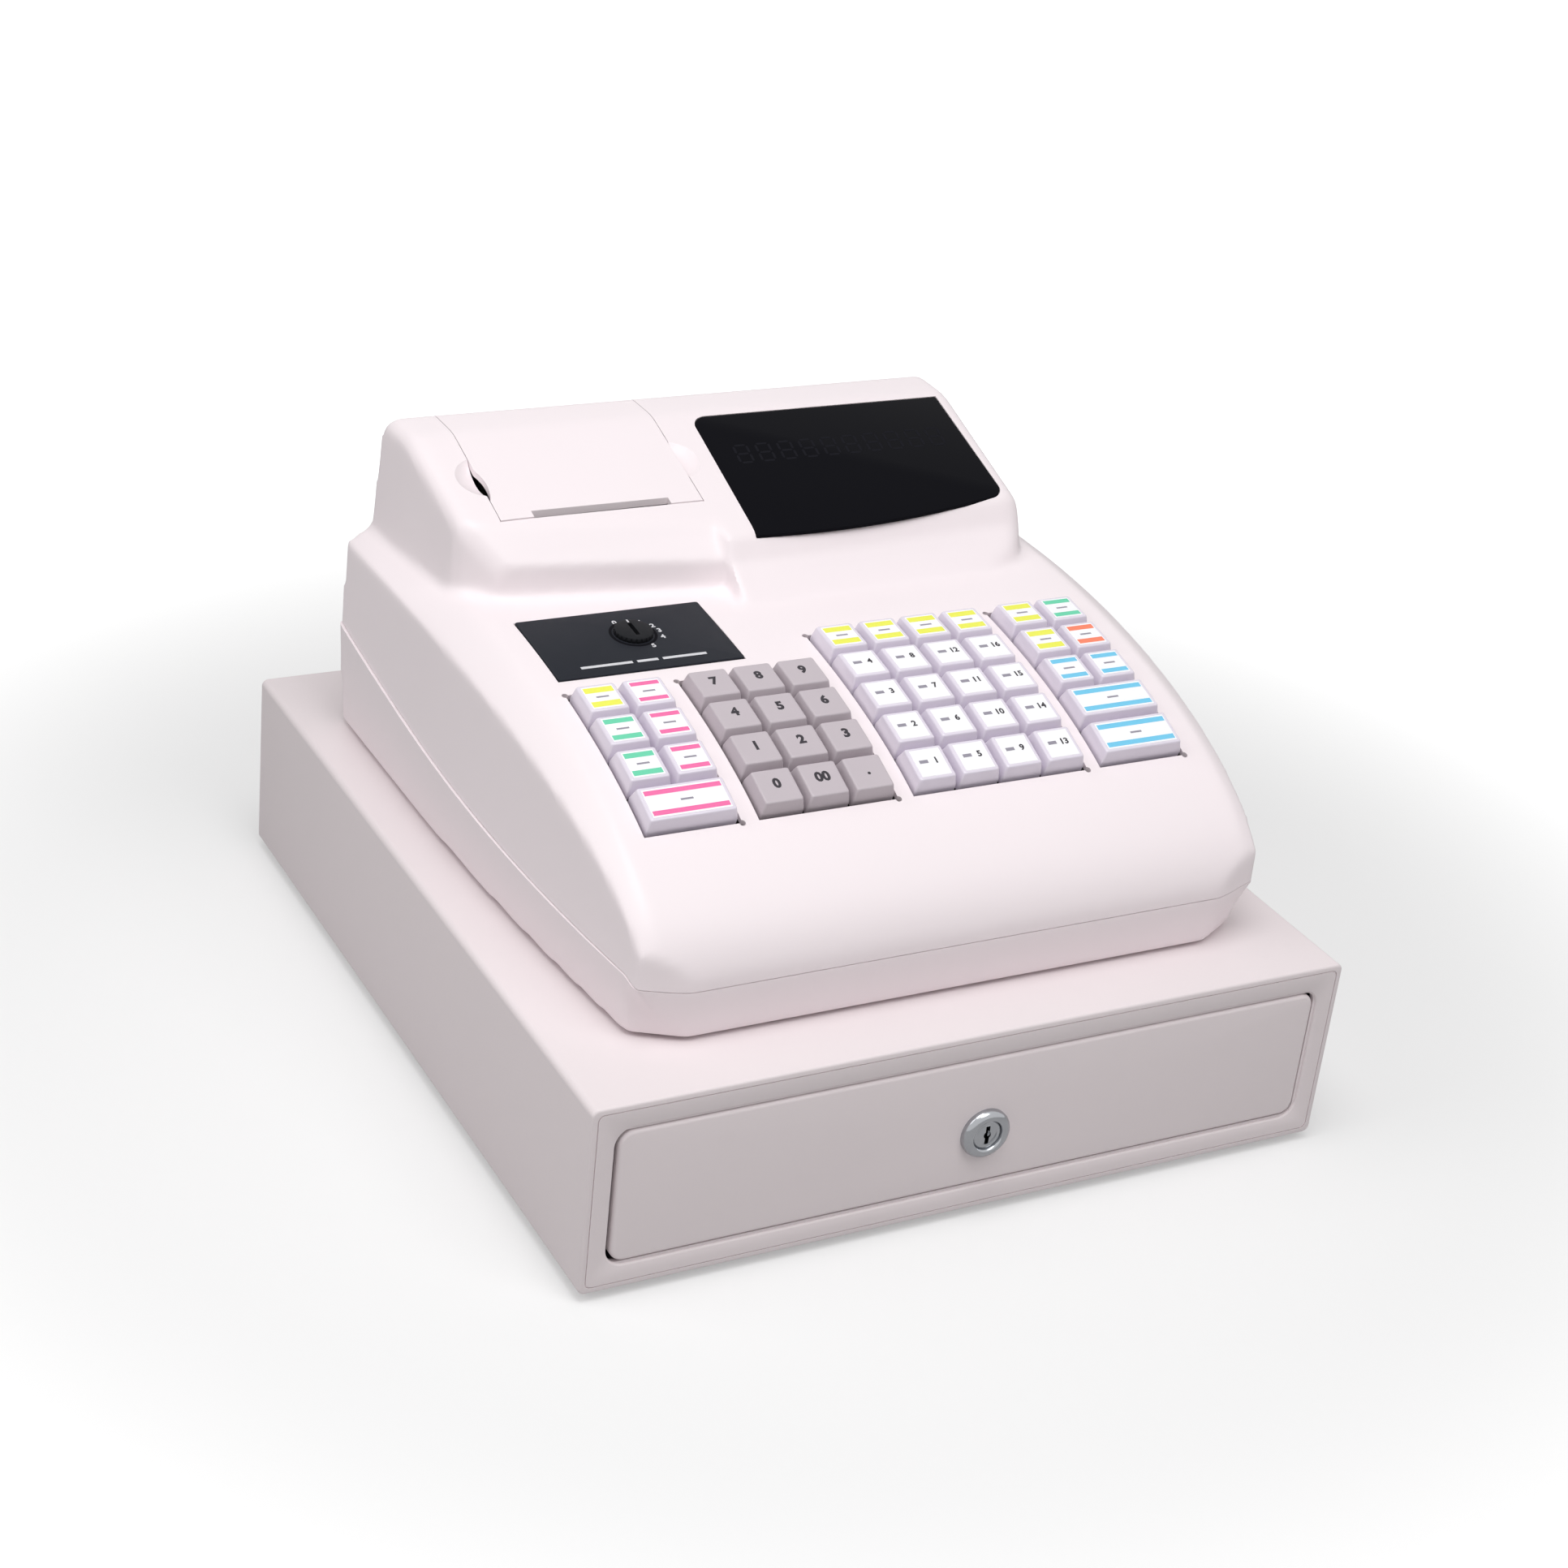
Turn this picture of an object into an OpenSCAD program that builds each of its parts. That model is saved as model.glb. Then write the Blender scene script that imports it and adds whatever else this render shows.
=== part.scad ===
// Electronic cash register: a keyboard till with a receipt printer, standing on a steel cash drawer.
// Origin: middle of the footprint, on the surface that the feet stand on. Front faces -Y, +Z is up.

/* [Drawer case] */
// Width of the drawer case
case_w = 328; // [320:1:360]
// Depth of the drawer case
case_d = 361; // [350:1:400]
// Height of the drawer case without its feet
case_h = 80; // [76:1:96]
// Thickness of the folded steel sheet
sheet_t = 1.2; // [0.8:0.1:1.6]
// Outside radius of the folded edges
bend_r = 3; // [2:0.5:5]
// Width of the frame around the drawer front
border_w = 10; // [9:0.5:13]
// Gap between the frame and the drawer front
panel_gap = 1.6; // [1:0.1:3]
// Corner radius of the drawer front
panel_r = 6; // [3:0.5:9]
// Depth of the drawer front's folded rim
panel_depth = 12; // [8:1:14]
// Height of the rubber feet
foot_h = 4; // [3:0.5:8]
// Diameter of the rubber feet
foot_d = 24; // [16:1:30]
// Distance of the feet from the case sides
foot_inset = 34; // [24:1:60]

/* [Drawer box and tray] */
// Space between the sliding box and the back of the case
latch_space = 29; // [28:1:60]
// Space for the rails on each side of the sliding box
rail_space = 11.8; // [11.4:0.2:14]
// Outside height of the sliding box
box_h = 54; // [50:1:56]
// How far the drawer opens
drawer_travel = 240; // [180:5:260]
// Diameter of the nylon wheels
wheel_d = 15; // [12:0.5:18]
// Width of the nylon wheels
wheel_w = 6; // [4:0.5:7]
// Wall thickness of the moulded cash tray
tray_t = 2.4; // [1.8:0.1:3.2]
// Length of the coin cups, front to back
coin_len = 108; // [90:1:115]
// Number of coin cups
coin_cups = 5; // [4:1:6]
// Number of note bays
note_bays = 4; // [3:1:5]
// Length of a note clip's arm
clip_len = 48; // [40:1:52]
// Width of a note clip's arm
clip_w = 14; // [8:1:20]
// How far a note clip slopes down at rest
clip_drop = 38; // [30:1:40]

/* [Drawer lock] */
// Diameter of the lock's round face
lock_d = 21; // [18:0.5:25]
// How far the lock face stands proud of the drawer front
lock_proud = 3.6; // [2:0.2:5]
// Height of the lock above the case's underside
lock_z = 35; // [30:1:45]
// Sideways place of the lock
lock_x = 3; // [-20:1:20]
// Diameter of the turning plug
plug_d = 12.4; // [10:0.2:14]
// Length of the lock's cam from its axis
cam_len = 39; // [37:0.5:41]

/* [Till case] */
// Width of the till at its seam
till_w = 298; // [290:1:304]
// Sideways place of the till on the drawer case
till_x = 1.5; // [0:0.5:4]
// Distance from the drawer front to the till front
till_inset = 27; // [20:1:40]
// Depth of the till
till_d = 285; // [281:1:300]
// Height of the rear deck above the drawer case
deck_up = 95; // [90:1:110]
// Length of the level part of the deck, at the back
deck_level = 83; // [76:1:90]
// Height of the hump's ridge above the drawer case
hump_up = 140; // [134:1:156]
// Wall thickness of the till's mouldings
wall = 2.5; // [2:0.1:3]
// Height of the seam above the drawer case, at the front
seam_up = 22.8; // [20:0.2:28]
// Rise of the seam around the front corners
seam_step = 4.5; // [2:0.5:6]
// Rise of the seam along the sides
seam_rise = 21; // [15:0.5:26]
// How far the deck's shoulders drop towards the sides
shoulder_drop = 10.4; // [6:0.2:12]
// Half the width of the flat part of the deck
deck_half = 129; // [126:0.5:130]
// Inward lean of the upper sides per mm of height
side_lean = 0.066; // [0.03:0.001:0.08]
// Gap between the drawer case and the till's floor
till_lift = 1.5; // [1:0.1:3]
// Radius of the long bow of the sides, seen from above
side_bow_r = 1540; // [1200:10:2000]
// Width of the cut-off front corners
corner_w = 20; // [14:1:26]
// Depth of the cut-off front corners at the seam
corner_d = 6; // [4:0.5:9]
// Depth of the cut-off front corners at the underside
corner_foot_d = 14; // [12:0.5:20]

/* [Hump, printer and display] */
// Half the width of the hump at its brow
hump_half = 125.5; // [120:0.5:127]
// Sideways place of the hump
hump_x = -2; // [-4:0.5:2]
// Growth of that half width per mm towards the back
hump_flare = 0.04; // [0:0.01:0.05]
// Outward slope of the hump's sides per mm of height
hump_draft = 0.08; // [0.04:0.01:0.1]
// Radius of the hump's long edges
hump_edge_r = 7; // [4:0.5:9]
// Plan radius of the hump's front corners
hump_corner_r = 26; // [18:1:30]
// Sideways place of the step between printer and display
step_x = -19.5; // [-22:0.5:-16]
// How far the printer's front sweeps back, per mm of width
printer_sweep = 0.13; // [0:0.01:0.16]
// How far the display's front sweeps back, per mm of width
display_sweep = 0.05; // [0:0.01:0.08]
// Width of the printer cover
cover_w = 90; // [86:1:92]
// Gap around the printer cover
cover_gap = 0.5; // [0.4:0.1:0.8]
// Width of the paper slot
slot_w = 61; // [58:0.5:64]
// Opening of the paper slot
slot_t = 3; // [2:0.1:4]
// Diameter of the paper roll
roll_d = 45; // [40:1:50]
// Width of the paper roll
roll_w = 57; // [54:0.5:57]
// Diameter of the platen roller
platen_d = 12; // [9:0.5:13]
// Width of the display window
window_w = 121; // [112:1:123]
// Thickness of the windows
window_t = 2; // [1.6:0.1:2.4]

/* [Keyboard] */
// Distance between neighbouring keys
key_pitch = 19.4; // [19:0.1:19.8]
// Gap between neighbouring key caps
key_gap = 1; // [0.8:0.1:1.4]
// Height of the key caps above the deck
cap_h = 5.6; // [4:0.2:7]
// Inset of a key cap's top face on each side
cap_taper = 1.5; // [1:0.1:3]
// How far a key travels
key_travel = 3; // [2:0.1:3.4]
// Diameter of the key stems
stem_d = 5; // [4:0.1:6]
// Distance from the till's front to the keyboard's front edge
keys_inset = 41.6; // [38:0.2:46]
// Gap between the key groups and the edges of their openings
group_gap = 0.7; // [0.5:0.1:1]

/* [Mode panel] */
// Width of the mode panel
mode_w = 80; // [74:1:84]
// Depth of the mode panel
mode_d = 45; // [40:1:47]
// Diameter of the turning dial
dial_d = 16; // [14:0.5:18]
// Height of the dial above the panel
dial_h = 2; // [1:0.1:3]

/* [Hidden] */

$fn = 48;
eps = 0.01;        // overlap of cutting tools
fit = 0.08;        // radial clearance of turning and sliding fits
side_gap = 0.4;    // end clearance of turning pieces
clear = 0.3;       // clearance between pieces that pass each other

// colours
ivory = [0.95, 0.92, 0.92];
ivory_case = [0.90, 0.87, 0.87];
steel = [0.70, 0.71, 0.73];
chrome = [0.82, 0.83, 0.85];
black = [0.10, 0.10, 0.12];
rubber = [0.13, 0.13, 0.13];
nylon = [0.88, 0.88, 0.84];
board_green = [0.08, 0.35, 0.20];
key_grey = [0.76, 0.73, 0.75];
key_white = [0.95, 0.95, 0.97];
copper = [0.72, 0.42, 0.20];

// drawer case
front_y = -(case_d - lock_proud) / 2;
back_y = front_y + case_d;
floor_z = foot_h;
top_z = foot_h + case_h;
in_w = case_w - 2 * sheet_t;
open_w = case_w - 2 * border_w;
open_h = case_h - 2 * border_w;
front_w = open_w - 2 * panel_gap;
front_h = open_h - 2 * panel_gap;
front_mid_z = floor_z + case_h / 2;
front_skin = 2;

// sliding box and its wheels
box_w = in_w - 2 * rail_space;
box_d = case_d - panel_depth - latch_space;
box_y = front_y + panel_depth;
box_back = box_y + box_d;
box_z = floor_z + border_w + panel_gap + 1;
axle_r = 2;
wheel_gap = 1.4;
wheel_x = box_w / 2 + wheel_gap;
wheel_y = box_back - wheel_d;
wheel_z = box_z + wheel_d;
rail_in = wheel_x + wheel_w + wheel_gap;
rail_h = wheel_d + 2 * clear;
rail_front = box_y + clear;
rail_back = back_y - sheet_t - border_w;
stop_t = 4;
stop_y = wheel_y - drawer_travel - wheel_d / 2 - wheel_gap;

// cash tray
tray_gap = 0.5;
tray_front = box_y + sheet_t + 10;
tray_w = box_w - 2 * (sheet_t + tray_gap);
tray_len = box_back - sheet_t - tray_gap - tray_front;
tray_z = box_z + sheet_t;
tray_h = box_h - sheet_t - 3;
tray_floor = tray_z + tray_t;
tray_top = tray_z + tray_h;
coin_pitch = (tray_w - tray_t) / coin_cups;
coin_r = 62;
note_pitch = (tray_w - tray_t) / note_bays;
note_y = tray_front + tray_t + coin_len + tray_t;
note_len = tray_front + tray_len - tray_t - note_y;

// note clips
hub_r = 3;
pin_r = 1.5;
pin_len = 5;
lug_t = 4;
lug_h = 12;
clip_t = 2;
pad_r = 3.4;
pad_w = 34;
clip_y = note_y + note_len - 8;
clip_z = tray_top - 7;
hub_w = clip_w + 6;

// lock
barrel_r = 8.6;
barrel_len = panel_depth + sheet_t + 3;
lock_mid_z = floor_z + lock_z;
plug_r = plug_d / 2;
keyway_w = 1.8;
keyway_h = 8;
keyway_depth = 9;
cam_t = 2;
cam_w = 9;
cam_y = front_y + barrel_len + 0.5;
face_t = 1.2;
lock_edge = 1.2;
keeper_w = 30;
keeper_t = 2;
keeper_y = front_y + panel_depth - keeper_t;

// drawer latch
latch_y = back_y - 9;
latch_z = floor_z + 18;
latch_reach = 13;
latch_w = 6;
latch_t = 4;
latch_hook = 8;
cheek_t = 2;
cheek_x = latch_w / 2 + side_gap;
striker_z = latch_z + latch_hook + 1.5;
striker_t = 2;
striker_w = 16;
striker_slot_len = 10;
striker_slot_y = latch_y - latch_reach - striker_t;
striker_end = striker_slot_y + striker_slot_len + striker_t;

// till case
till_z = top_z + till_lift;
seam_z = top_z + seam_up;
deck_z = top_z + deck_up;
ridge_z = top_z + hump_up;
till_front = front_y + till_inset;
till_back = till_front + till_d;
till_half = till_w / 2;
seam_gap = 0.4;
base_taper = 3.3;
base_front_taper = 3.5;
arc_y = till_back - deck_level;
deck_last = 86.5;
arc_len = (arc_y - till_front) / sin(deck_last);
arc_rise = deck_z - seam_z;
bow_y = arc_y;
corner_x = till_half - side_bow_sag(till_front + corner_d);
corner_foot_x = till_half - side_bow_sag(till_front + corner_foot_d) - base_taper;
seam_power = 2.2;

// height of the deck's outside (i = 0) or inside (i = wall) at y
function deck_top(y, i = 0) = y >= arc_y ? deck_z - i
    : seam_z + (arc_rise - i) * sqrt(max(0, 1 - pow((arc_y - y) / (arc_len - i), 2)));
function deck_slope(y) = let(u = min(0.98, max(0, (arc_y - y) / arc_len)))
    arc_rise / arc_len * u / sqrt(1 - u * u);
function side_bow_sag(y) = y >= bow_y ? 0 : side_bow_r - sqrt(pow(side_bow_r, 2) - pow(bow_y - y, 2));
function side_x(y) = y >= till_front + corner_d ? till_half - side_bow_sag(y)
    : corner_x - (till_front + corner_d - y) * corner_w / corner_d;
function seam_at(y) = seam_z + seam_step * min(1, max(0, (y - till_front) / corner_foot_d))
    + seam_rise * pow(max(0, (y - till_front) / (till_back - till_front)), seam_power);

// outline of one section across the case: low at the sides, rounded at both top edges
arc_steps = 5;
function section(y, half_low, half_top, low, top, r) =
    [each [[-half_low, y, low]],
     for (k = [0:arc_steps]) let(a = 90 * k / arc_steps)
         [-half_top + r - r * cos(a), y, top - r + r * sin(a)],
     for (k = [0:arc_steps]) let(a = 90 * k / arc_steps)
         [half_top - r + r * sin(a), y, top - r + r * cos(a)],
     each [[half_low, y, low]]];

// solid through a row of sections that run from front to back
module loft(rows) {
    n = len(rows[0]);
    m = len(rows);
    points = [for (row = rows) each row];
    sides = [for (k = [0:m - 2], i = [0:n - 1]) let(j = (i + 1) % n, a = k * n + i, b = k * n + j)
        each [[a, a + n, b + n], [a, b + n, b]]];
    front = [[for (i = [0:n - 1]) i]];
    back = [[for (i = [0:n - 1]) m * n - 1 - i]];
    polyhedron(points = points, faces = concat(front, sides, back), convexity = 6);
}

// stations of the curved deck: equal steps of the quarter ellipse and the two depths of the
// cut-off corners, then the level part
deck_steps = 17;
station_gap = 1.2;
corner_y = till_front + corner_d;
corner_foot_y = till_front + corner_foot_d;
arc_ys = [for (k = [deck_steps:-1:0]) arc_y - arc_len * sin(deck_last * k / deck_steps)];
deck_ys = [for (y = arc_ys) if (y < corner_y - station_gap) y, corner_y,
    for (y = arc_ys) if (y > corner_y + station_gap && y < corner_foot_y - station_gap) y, corner_foot_y,
    for (y = arc_ys) if (y > corner_foot_y + station_gap) y, till_back];
shoulder_steps = 4;
shoulder_min = 3;
shoulder_bulge = 1.2;
function deck_row(y, i, low) = let(
    top = deck_top(y, i),
    part = (top - seam_z) / arc_rise,
    drop = shoulder_drop * part,
    half = side_x(y) - i,
    edge = half - side_lean * max(0, top - drop - seam_at(y)),
    flat = min(deck_half - i / 2, edge - shoulder_min * part - 0.5),
    right = [for (k = [0:shoulder_steps]) let(t = k / shoulder_steps)
        [edge + (flat - edge) * t, y, top - drop * pow(1 - t, shoulder_bulge)]])
    [[-half, y, low], each [for (p = right) [-p[0], y, p[2]]],
     each [for (k = [shoulder_steps:-1:0]) right[k]], [half, y, low]];
deck_outer = [for (y = deck_ys) deck_row(y, 0, seam_at(y) + seam_gap)];
function deck_form(i, low) = [for (y = deck_ys)
    deck_row(y == till_back ? y - i : arc_y - (arc_y - y) * (arc_len - i) / arc_len, i, low)];

// corner at b between a and c, rounded with n steps
function unit(v) = v / norm(v);
function turn(a) = a > 180 ? a - 360 : a < -180 ? a + 360 : a;
function rounded(a, b, c, r, n) = let(u = unit(a - b), v = unit(c - b), h = acos(u * v) / 2,
    m = b + unit(u + v) * r / sin(h), p = b + u * r / tan(h) - m, q = b + v * r / tan(h) - m,
    a0 = atan2(p[1], p[0]), da = turn(atan2(q[1], q[0]) - a0))
    [for (k = [0:n]) m + r * [cos(a0 + da * k / n), sin(a0 + da * k / n)]];

// side views of the hump, as [y, z] from its front foot to its back
crest_d = 25;
slope_d = 67;
slope_h = 21;
ridge_y = till_back - crest_d;
brow_y = ridge_y - slope_d;
brow_z = ridge_z - slope_h;
foot_dip = 14;
hump_back = till_back - 1;
printer_foot_d = 15;
display_foot_d = 32;
printer_foot_y = brow_y - printer_foot_d;
printer_toe = [printer_foot_y + 2.5, deck_z + 12];
printer_brow = [brow_y, brow_z];
printer_brow_r = 13;
display_foot_y = brow_y - display_foot_d;
display_toe = [brow_y - 15.5, deck_z + 11];
display_brow = [brow_y - 9.5, brow_z - 3];
display_brow_r = 8;
ridge = [ridge_y, ridge_z];
ridge_r = 30;
rear_edge = [hump_back, ridge_z];
rear_r = 5;
top_angle = atan2(ridge_z - brow_z, ridge_y - brow_y);
function hump_top(toe, brow, brow_r) = [
    each rounded(toe, brow, ridge, brow_r, 4),
    each rounded(brow, ridge, rear_edge, ridge_r, 3),
    each rounded(ridge, rear_edge, [hump_back, deck_z], rear_r, 3)];
printer_profile = [
    [printer_foot_y, deck_z - foot_dip / 2],
    each rounded([printer_foot_y, deck_z - foot_dip / 2], printer_toe, printer_brow, 3, 1),
    each hump_top(printer_toe, printer_brow, printer_brow_r)];
display_profile = [
    [display_foot_y, deck_top(display_foot_y) - 0.5],
    [display_foot_y + 6.3, deck_z + 3.4],
    [display_foot_y + 10.7, deck_z + 6.6],
    display_toe,
    each hump_top(display_toe, display_brow, display_brow_r)];
function corner_sag(d) = hump_corner_r
    - sqrt(pow(hump_corner_r, 2) - pow(min(hump_corner_r, max(0, d)), 2));
function hump_width(y, z, foot_y) = hump_half + (y - brow_y) * hump_flare
    + (ridge_z - z) * hump_draft - corner_sag(foot_y + hump_corner_r - y);
// moves a point of the front back with its distance from the step, the brow along the sloping top
function swept(q, p, sweep) = let(w = max(0, min(1, (ridge_y - p[0]) / (ridge_y - brow_y))),
    dy = w * sweep * (q[0] + hump_x - step_x), up = max(0, min(1, (q[2] - deck_z) / (brow_z - deck_z))))
    q + [0, dy, dy * tan(top_angle) * up];
function hump_rows(profile, i, sweep) = let(y0 = profile[0][0], y1 = hump_back, mid = (y0 + y1) / 2,
    shrink = 1 - 2 * i / (y1 - y0))
    [for (p = profile) let(y = mid + (p[0] - mid) * shrink, top = p[1] - i, low = deck_z - foot_dip - i,
        r = max(0.3, min(hump_edge_r - i / 2, (top - low) / 2)))
        [for (q = section(y, hump_width(p[0], low, y0) - i, hump_width(p[0], top - r, y0) - i, low, top, r))
            swept(q, p, sweep)]];

// hump between two sideways limits
module hump_slab(x0, x1, profile, i, sweep) {
    intersection() {
        translate([hump_x, 0, 0]) loft(hump_rows(profile, i, sweep));
        translate([x0, till_front, deck_z - deck_up])
            cube([x1 - x0, till_back - till_front, hump_up]);
    }
}
module hump(i) {
    hump_slab(-till_w, step_x, printer_profile, i, -printer_sweep);
    hump_slab(step_x + (i > 0 ? i : -eps), till_w, display_profile, i, display_sweep);
}

// printer cover and the bay under it: the cover's front edge is the paper slot's rear lip
cover_x1 = step_x - cover_gap;
cover_x0 = cover_x1 - cover_w;
cover_mid = (cover_x0 + cover_x1) / 2;
cover_low = deck_z + 2;
hinge_y = hump_back + 3.2;
hinge_z = ridge_z - 8;
hinge_r = 2.8;
hinge_pin_r = 1.2;
knuckle_w = 8;
knuckle_x = 30;
case_knuckles = [for (x = [-1, 1], side = [-1, 1])
    cover_mid + x * knuckle_x + side * (knuckle_w + side_gap)];
cover_back_z = hinge_z - 1.4;
slot_y = brow_y + 14;
cover_front_gap = 2 * cover_gap;
cover_y0 = slot_y - slot_t / 2 + cover_front_gap;
function top_plane(y) = brow_z + (y - brow_y) * tan(top_angle);
notch_r = 22;
notch_w = 3;
grip_y = slot_y + 20;
grip_r = 20;
grip_depth = 3.4;
grip_in = 3;

// printer
platen_back = 8;
platen_drop = 13;
platen_y = slot_y + platen_back;
platen_z = top_plane(slot_y) - platen_drop;
platen_len = roll_w + 2;
platen_pin_r = 1.5;
platen_pin = 4;
ear_t = 3;
ear_gap = 0.6;
ear_r = 4;
ear_room = 2;
roll_core_r = 8;
roll_head = 1.5;
bucket_gap = 1.4;
bucket_t = 2;
bucket_r = roll_d / 2 + bucket_gap;
roll_y = platen_y + platen_d / 2 + bucket_r + bucket_t + 2 * clear;
roll_z = top_plane(roll_y) - (wall + roll_head + roll_d / 2) / cos(top_angle);
frame_in = roll_w + 2 * bucket_gap;
frame_t = 2.4;
frame_front = 19;
frame_y0 = platen_y - frame_front;
frame_y1 = roll_y + bucket_r + bucket_t;
head_gap = 0.8;
head_t = 7;

// display window, drawn in the hump's sloping top: v runs down the slope from the ridge
window_x = step_x + 16.5;
window_top = 3.5;
window_lip = 2.7;
window_step = 8.5;
window_left = norm(ridge - display_brow) - window_lip;
window_right = window_left - window_step;
window_corner = 7;
window_lean = 2.5;
window_rest = 4;
window_sag = 4;
window_seat = 0.3;
customer_w = 92;
customer_h = 22;
customer_x = 12;
customer_z = ridge_z - 34;
display_drop = 9;
pcb_t = 1.6;
digit_count = 10;
digit_w = 8.5;
digit_h = 15;
digit_t = 5;
digit_pitch = 10.4;
board_inset = 5;
customer_digits = 7;

// keyboard: its guide plate lies along the chord of the curved deck
group_rows = 5;
kb_y0 = till_front + keys_inset;
kb_len = group_rows * key_pitch;
kb_angle = atan2(deck_top(kb_y0 + kb_len) - deck_top(kb_y0), kb_len);
kb_z0 = deck_top(kb_y0);
function chord(s) = [kb_y0 + s * cos(kb_angle), kb_z0 + s * sin(kb_angle)];
function bulge(s) = (deck_top(chord(s)[0]) - chord(s)[1]) * cos(kb_angle);
function key_point(s) = chord(s) + bulge(s) * [-sin(kb_angle), cos(kb_angle)];
function key_tilt(s) = atan(deck_slope(key_point(s)[0]));
cap_w = key_pitch - key_gap;
cap_skirt = 3;
cap_wall = 1.6;
cap_top_t = 0.6;
frame_drop = 9.5;
guide_t = 3;
board_drop = frame_drop + guide_t + 4;
stem_end = board_drop - key_travel - 1.4;
guide_fit = 0.1;
left_cols = 2;
digit_cols = 3;
dept_cols = 4;
right_cols = 2;
short_rows = 4;
// strips of the deck between the key groups
left_strip = 8.4;
digit_strip = 8;
dept_strip = 7.2;
keys_mid = 0.9;
keys_w = (left_cols + digit_cols + dept_cols + right_cols) * key_pitch
    + left_strip + digit_strip + dept_strip;
left_x = keys_mid - keys_w / 2;
digit_x = left_x + left_cols * key_pitch + left_strip;
dept_x = digit_x + digit_cols * key_pitch + digit_strip;
right_x = dept_x + dept_cols * key_pitch + dept_strip;
GROUPS = [[left_x, left_cols, short_rows], [digit_x, digit_cols, short_rows],
    [dept_x, dept_cols, group_rows], [right_x, right_cols, group_rows]];
kb_margin = 6;
kb_x0 = left_x - kb_margin;
kb_x1 = right_x + right_cols * key_pitch + kb_margin;
pillar_r = 3.2;
// pillars stand in the strips between the key groups
PILLARS = [for (n = [0:2]) let(x = (GROUPS[n][0] + GROUPS[n][1] * key_pitch + GROUPS[n + 1][0]) / 2)
    each [[x, 2], [x, n < 2 ? kb_len - 16 : kb_len - 2]]];

// mode panel and its switch
mode_x = -117;
mode_space = 9.2;
mode_y0 = chord(short_rows * key_pitch)[0] + mode_space;
mode_y1 = mode_y0 + mode_d;
mode_angle = atan2(deck_top(mode_y1) - deck_top(mode_y0), mode_d);
mode_t = 1.6;
mode_proud = 0.7;
mode_gap = 0.3;
dial_x = mode_x + mode_w * 0.54;
dial_s = mode_d * 0.59;
shaft_r = 4.5;
switch_r = 11;
switch_h = 16;
dial_slot_w = 1.8;
dial_slot_l = 9;
dial_slot_d = 2.6;

// insides of the lower case
base_floor = till_z + wall;
pad_d = 12;
screw_front_x = 104;
screw_back_x = 139;
screw_front_y = till_front + 22;
screw_back_y = till_back - 12;
SCREWS = [[till_x - screw_front_x, screw_front_y], [till_x + screw_front_x, screw_front_y],
    [till_x - screw_back_x, screw_back_y], [till_x + screw_back_x, screw_back_y]];
post_r = 4.5;
post_h = 14;
post_top = base_floor + post_h;
screw_r = 1.5;
screw_head_r = 3;
screw_head_h = 2;
screw_sink = 1;
screw_bite = 9;
screw_len = post_top - till_z + screw_bite;
boss_r = 4;
standoff_r = 3;
standoff_h = 6;
main_x = -30;
main_y = till_front + 40;
main_w = 150;
main_d = 104;
// place and size of its chips, places of its capacitors and of its cable sockets
CHIPS = [[20, 30, 28, 28], [62, 34, 18, 24], [62, 70, 14, 22], [95, 30, 12, 34]];
CANS = [[120, 22], [134, 22], [120, 40]];
SOCKETS = [30, 70, 104];
chip_t = 3;
can_r = 5;
can_h = 14;
socket_inset = 9;
socket_w = 24;
socket_t = 6;
socket_h = 8;
power_x = 62;
power_y = till_back - 78;
core_w = 54;
core_d = 44;
coil_w = 30;
coil_h = 38;
inlet_x = 100;
inlet_w = 24;
inlet_h = 15;
inlet_d = 18;
inlet_z = base_floor + 8;
inlet_lip = 2;
inlet_gap = 0.4;
inlet_r = 1.8;
inlet_socket_r = 4;
inlet_pin_r = 1.2;
inlet_pin_x = 4.2;

// ---- drawer ----

// rectangle with round corners, centred on the origin
module round_rect(w, h, r) {
    square([w - 2 * r, h], center = true);
    square([w, h - 2 * r], center = true);
    for (x = [-1, 1], y = [-1, 1]) translate([x * (w / 2 - r), y * (h / 2 - r)]) circle(r);
}
// the same, standing in the XZ plane and reaching from y0 back to y1
module round_bar(w, h, r, y0, y1, x = 0, z = front_mid_z) {
    translate([x, y1, z]) rotate([90, 0, 0]) linear_extrude(y1 - y0) round_rect(w, h, r);
}
// cylinder along X between x0 and x1
module rod_x(r, x0, x1, y, z) {
    translate([x0, y, z]) rotate([0, 90, 0]) cylinder(r = r, h = x1 - x0);
}
// cylinder along Y between y0 and y1
module rod_y(r, y0, y1, x, z) {
    translate([x, y1, z]) rotate([90, 0, 0]) cylinder(r = r, h = y1 - y0);
}

module drawer_housing() color(ivory_case) {
    difference() {
        round_bar(case_w, case_h, bend_r, front_y, back_y);
        round_bar(in_w, case_h - 2 * sheet_t, bend_r - sheet_t, front_y + sheet_t, back_y - sheet_t);
        round_bar(open_w, open_h, panel_r + panel_gap, front_y - 1, front_y + 2 * sheet_t);
    }
    // keeper that the lock's cam turns up behind
    translate([lock_x - keeper_w / 2, keeper_y, floor_z + case_h - border_w + clear])
        cube([keeper_w, keeper_t, border_w - sheet_t - clear]);
    // bracket and stud of the latch
    for (side = [-1, 1])
        translate([side * (cheek_x + cheek_t / 2) - cheek_t / 2, latch_y - 6, floor_z + sheet_t])
            cube([cheek_t, 12, latch_z - floor_z - sheet_t + 5]);
    rod_x(axle_r, -cheek_x - eps, cheek_x + eps, latch_y, latch_z);
}

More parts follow.
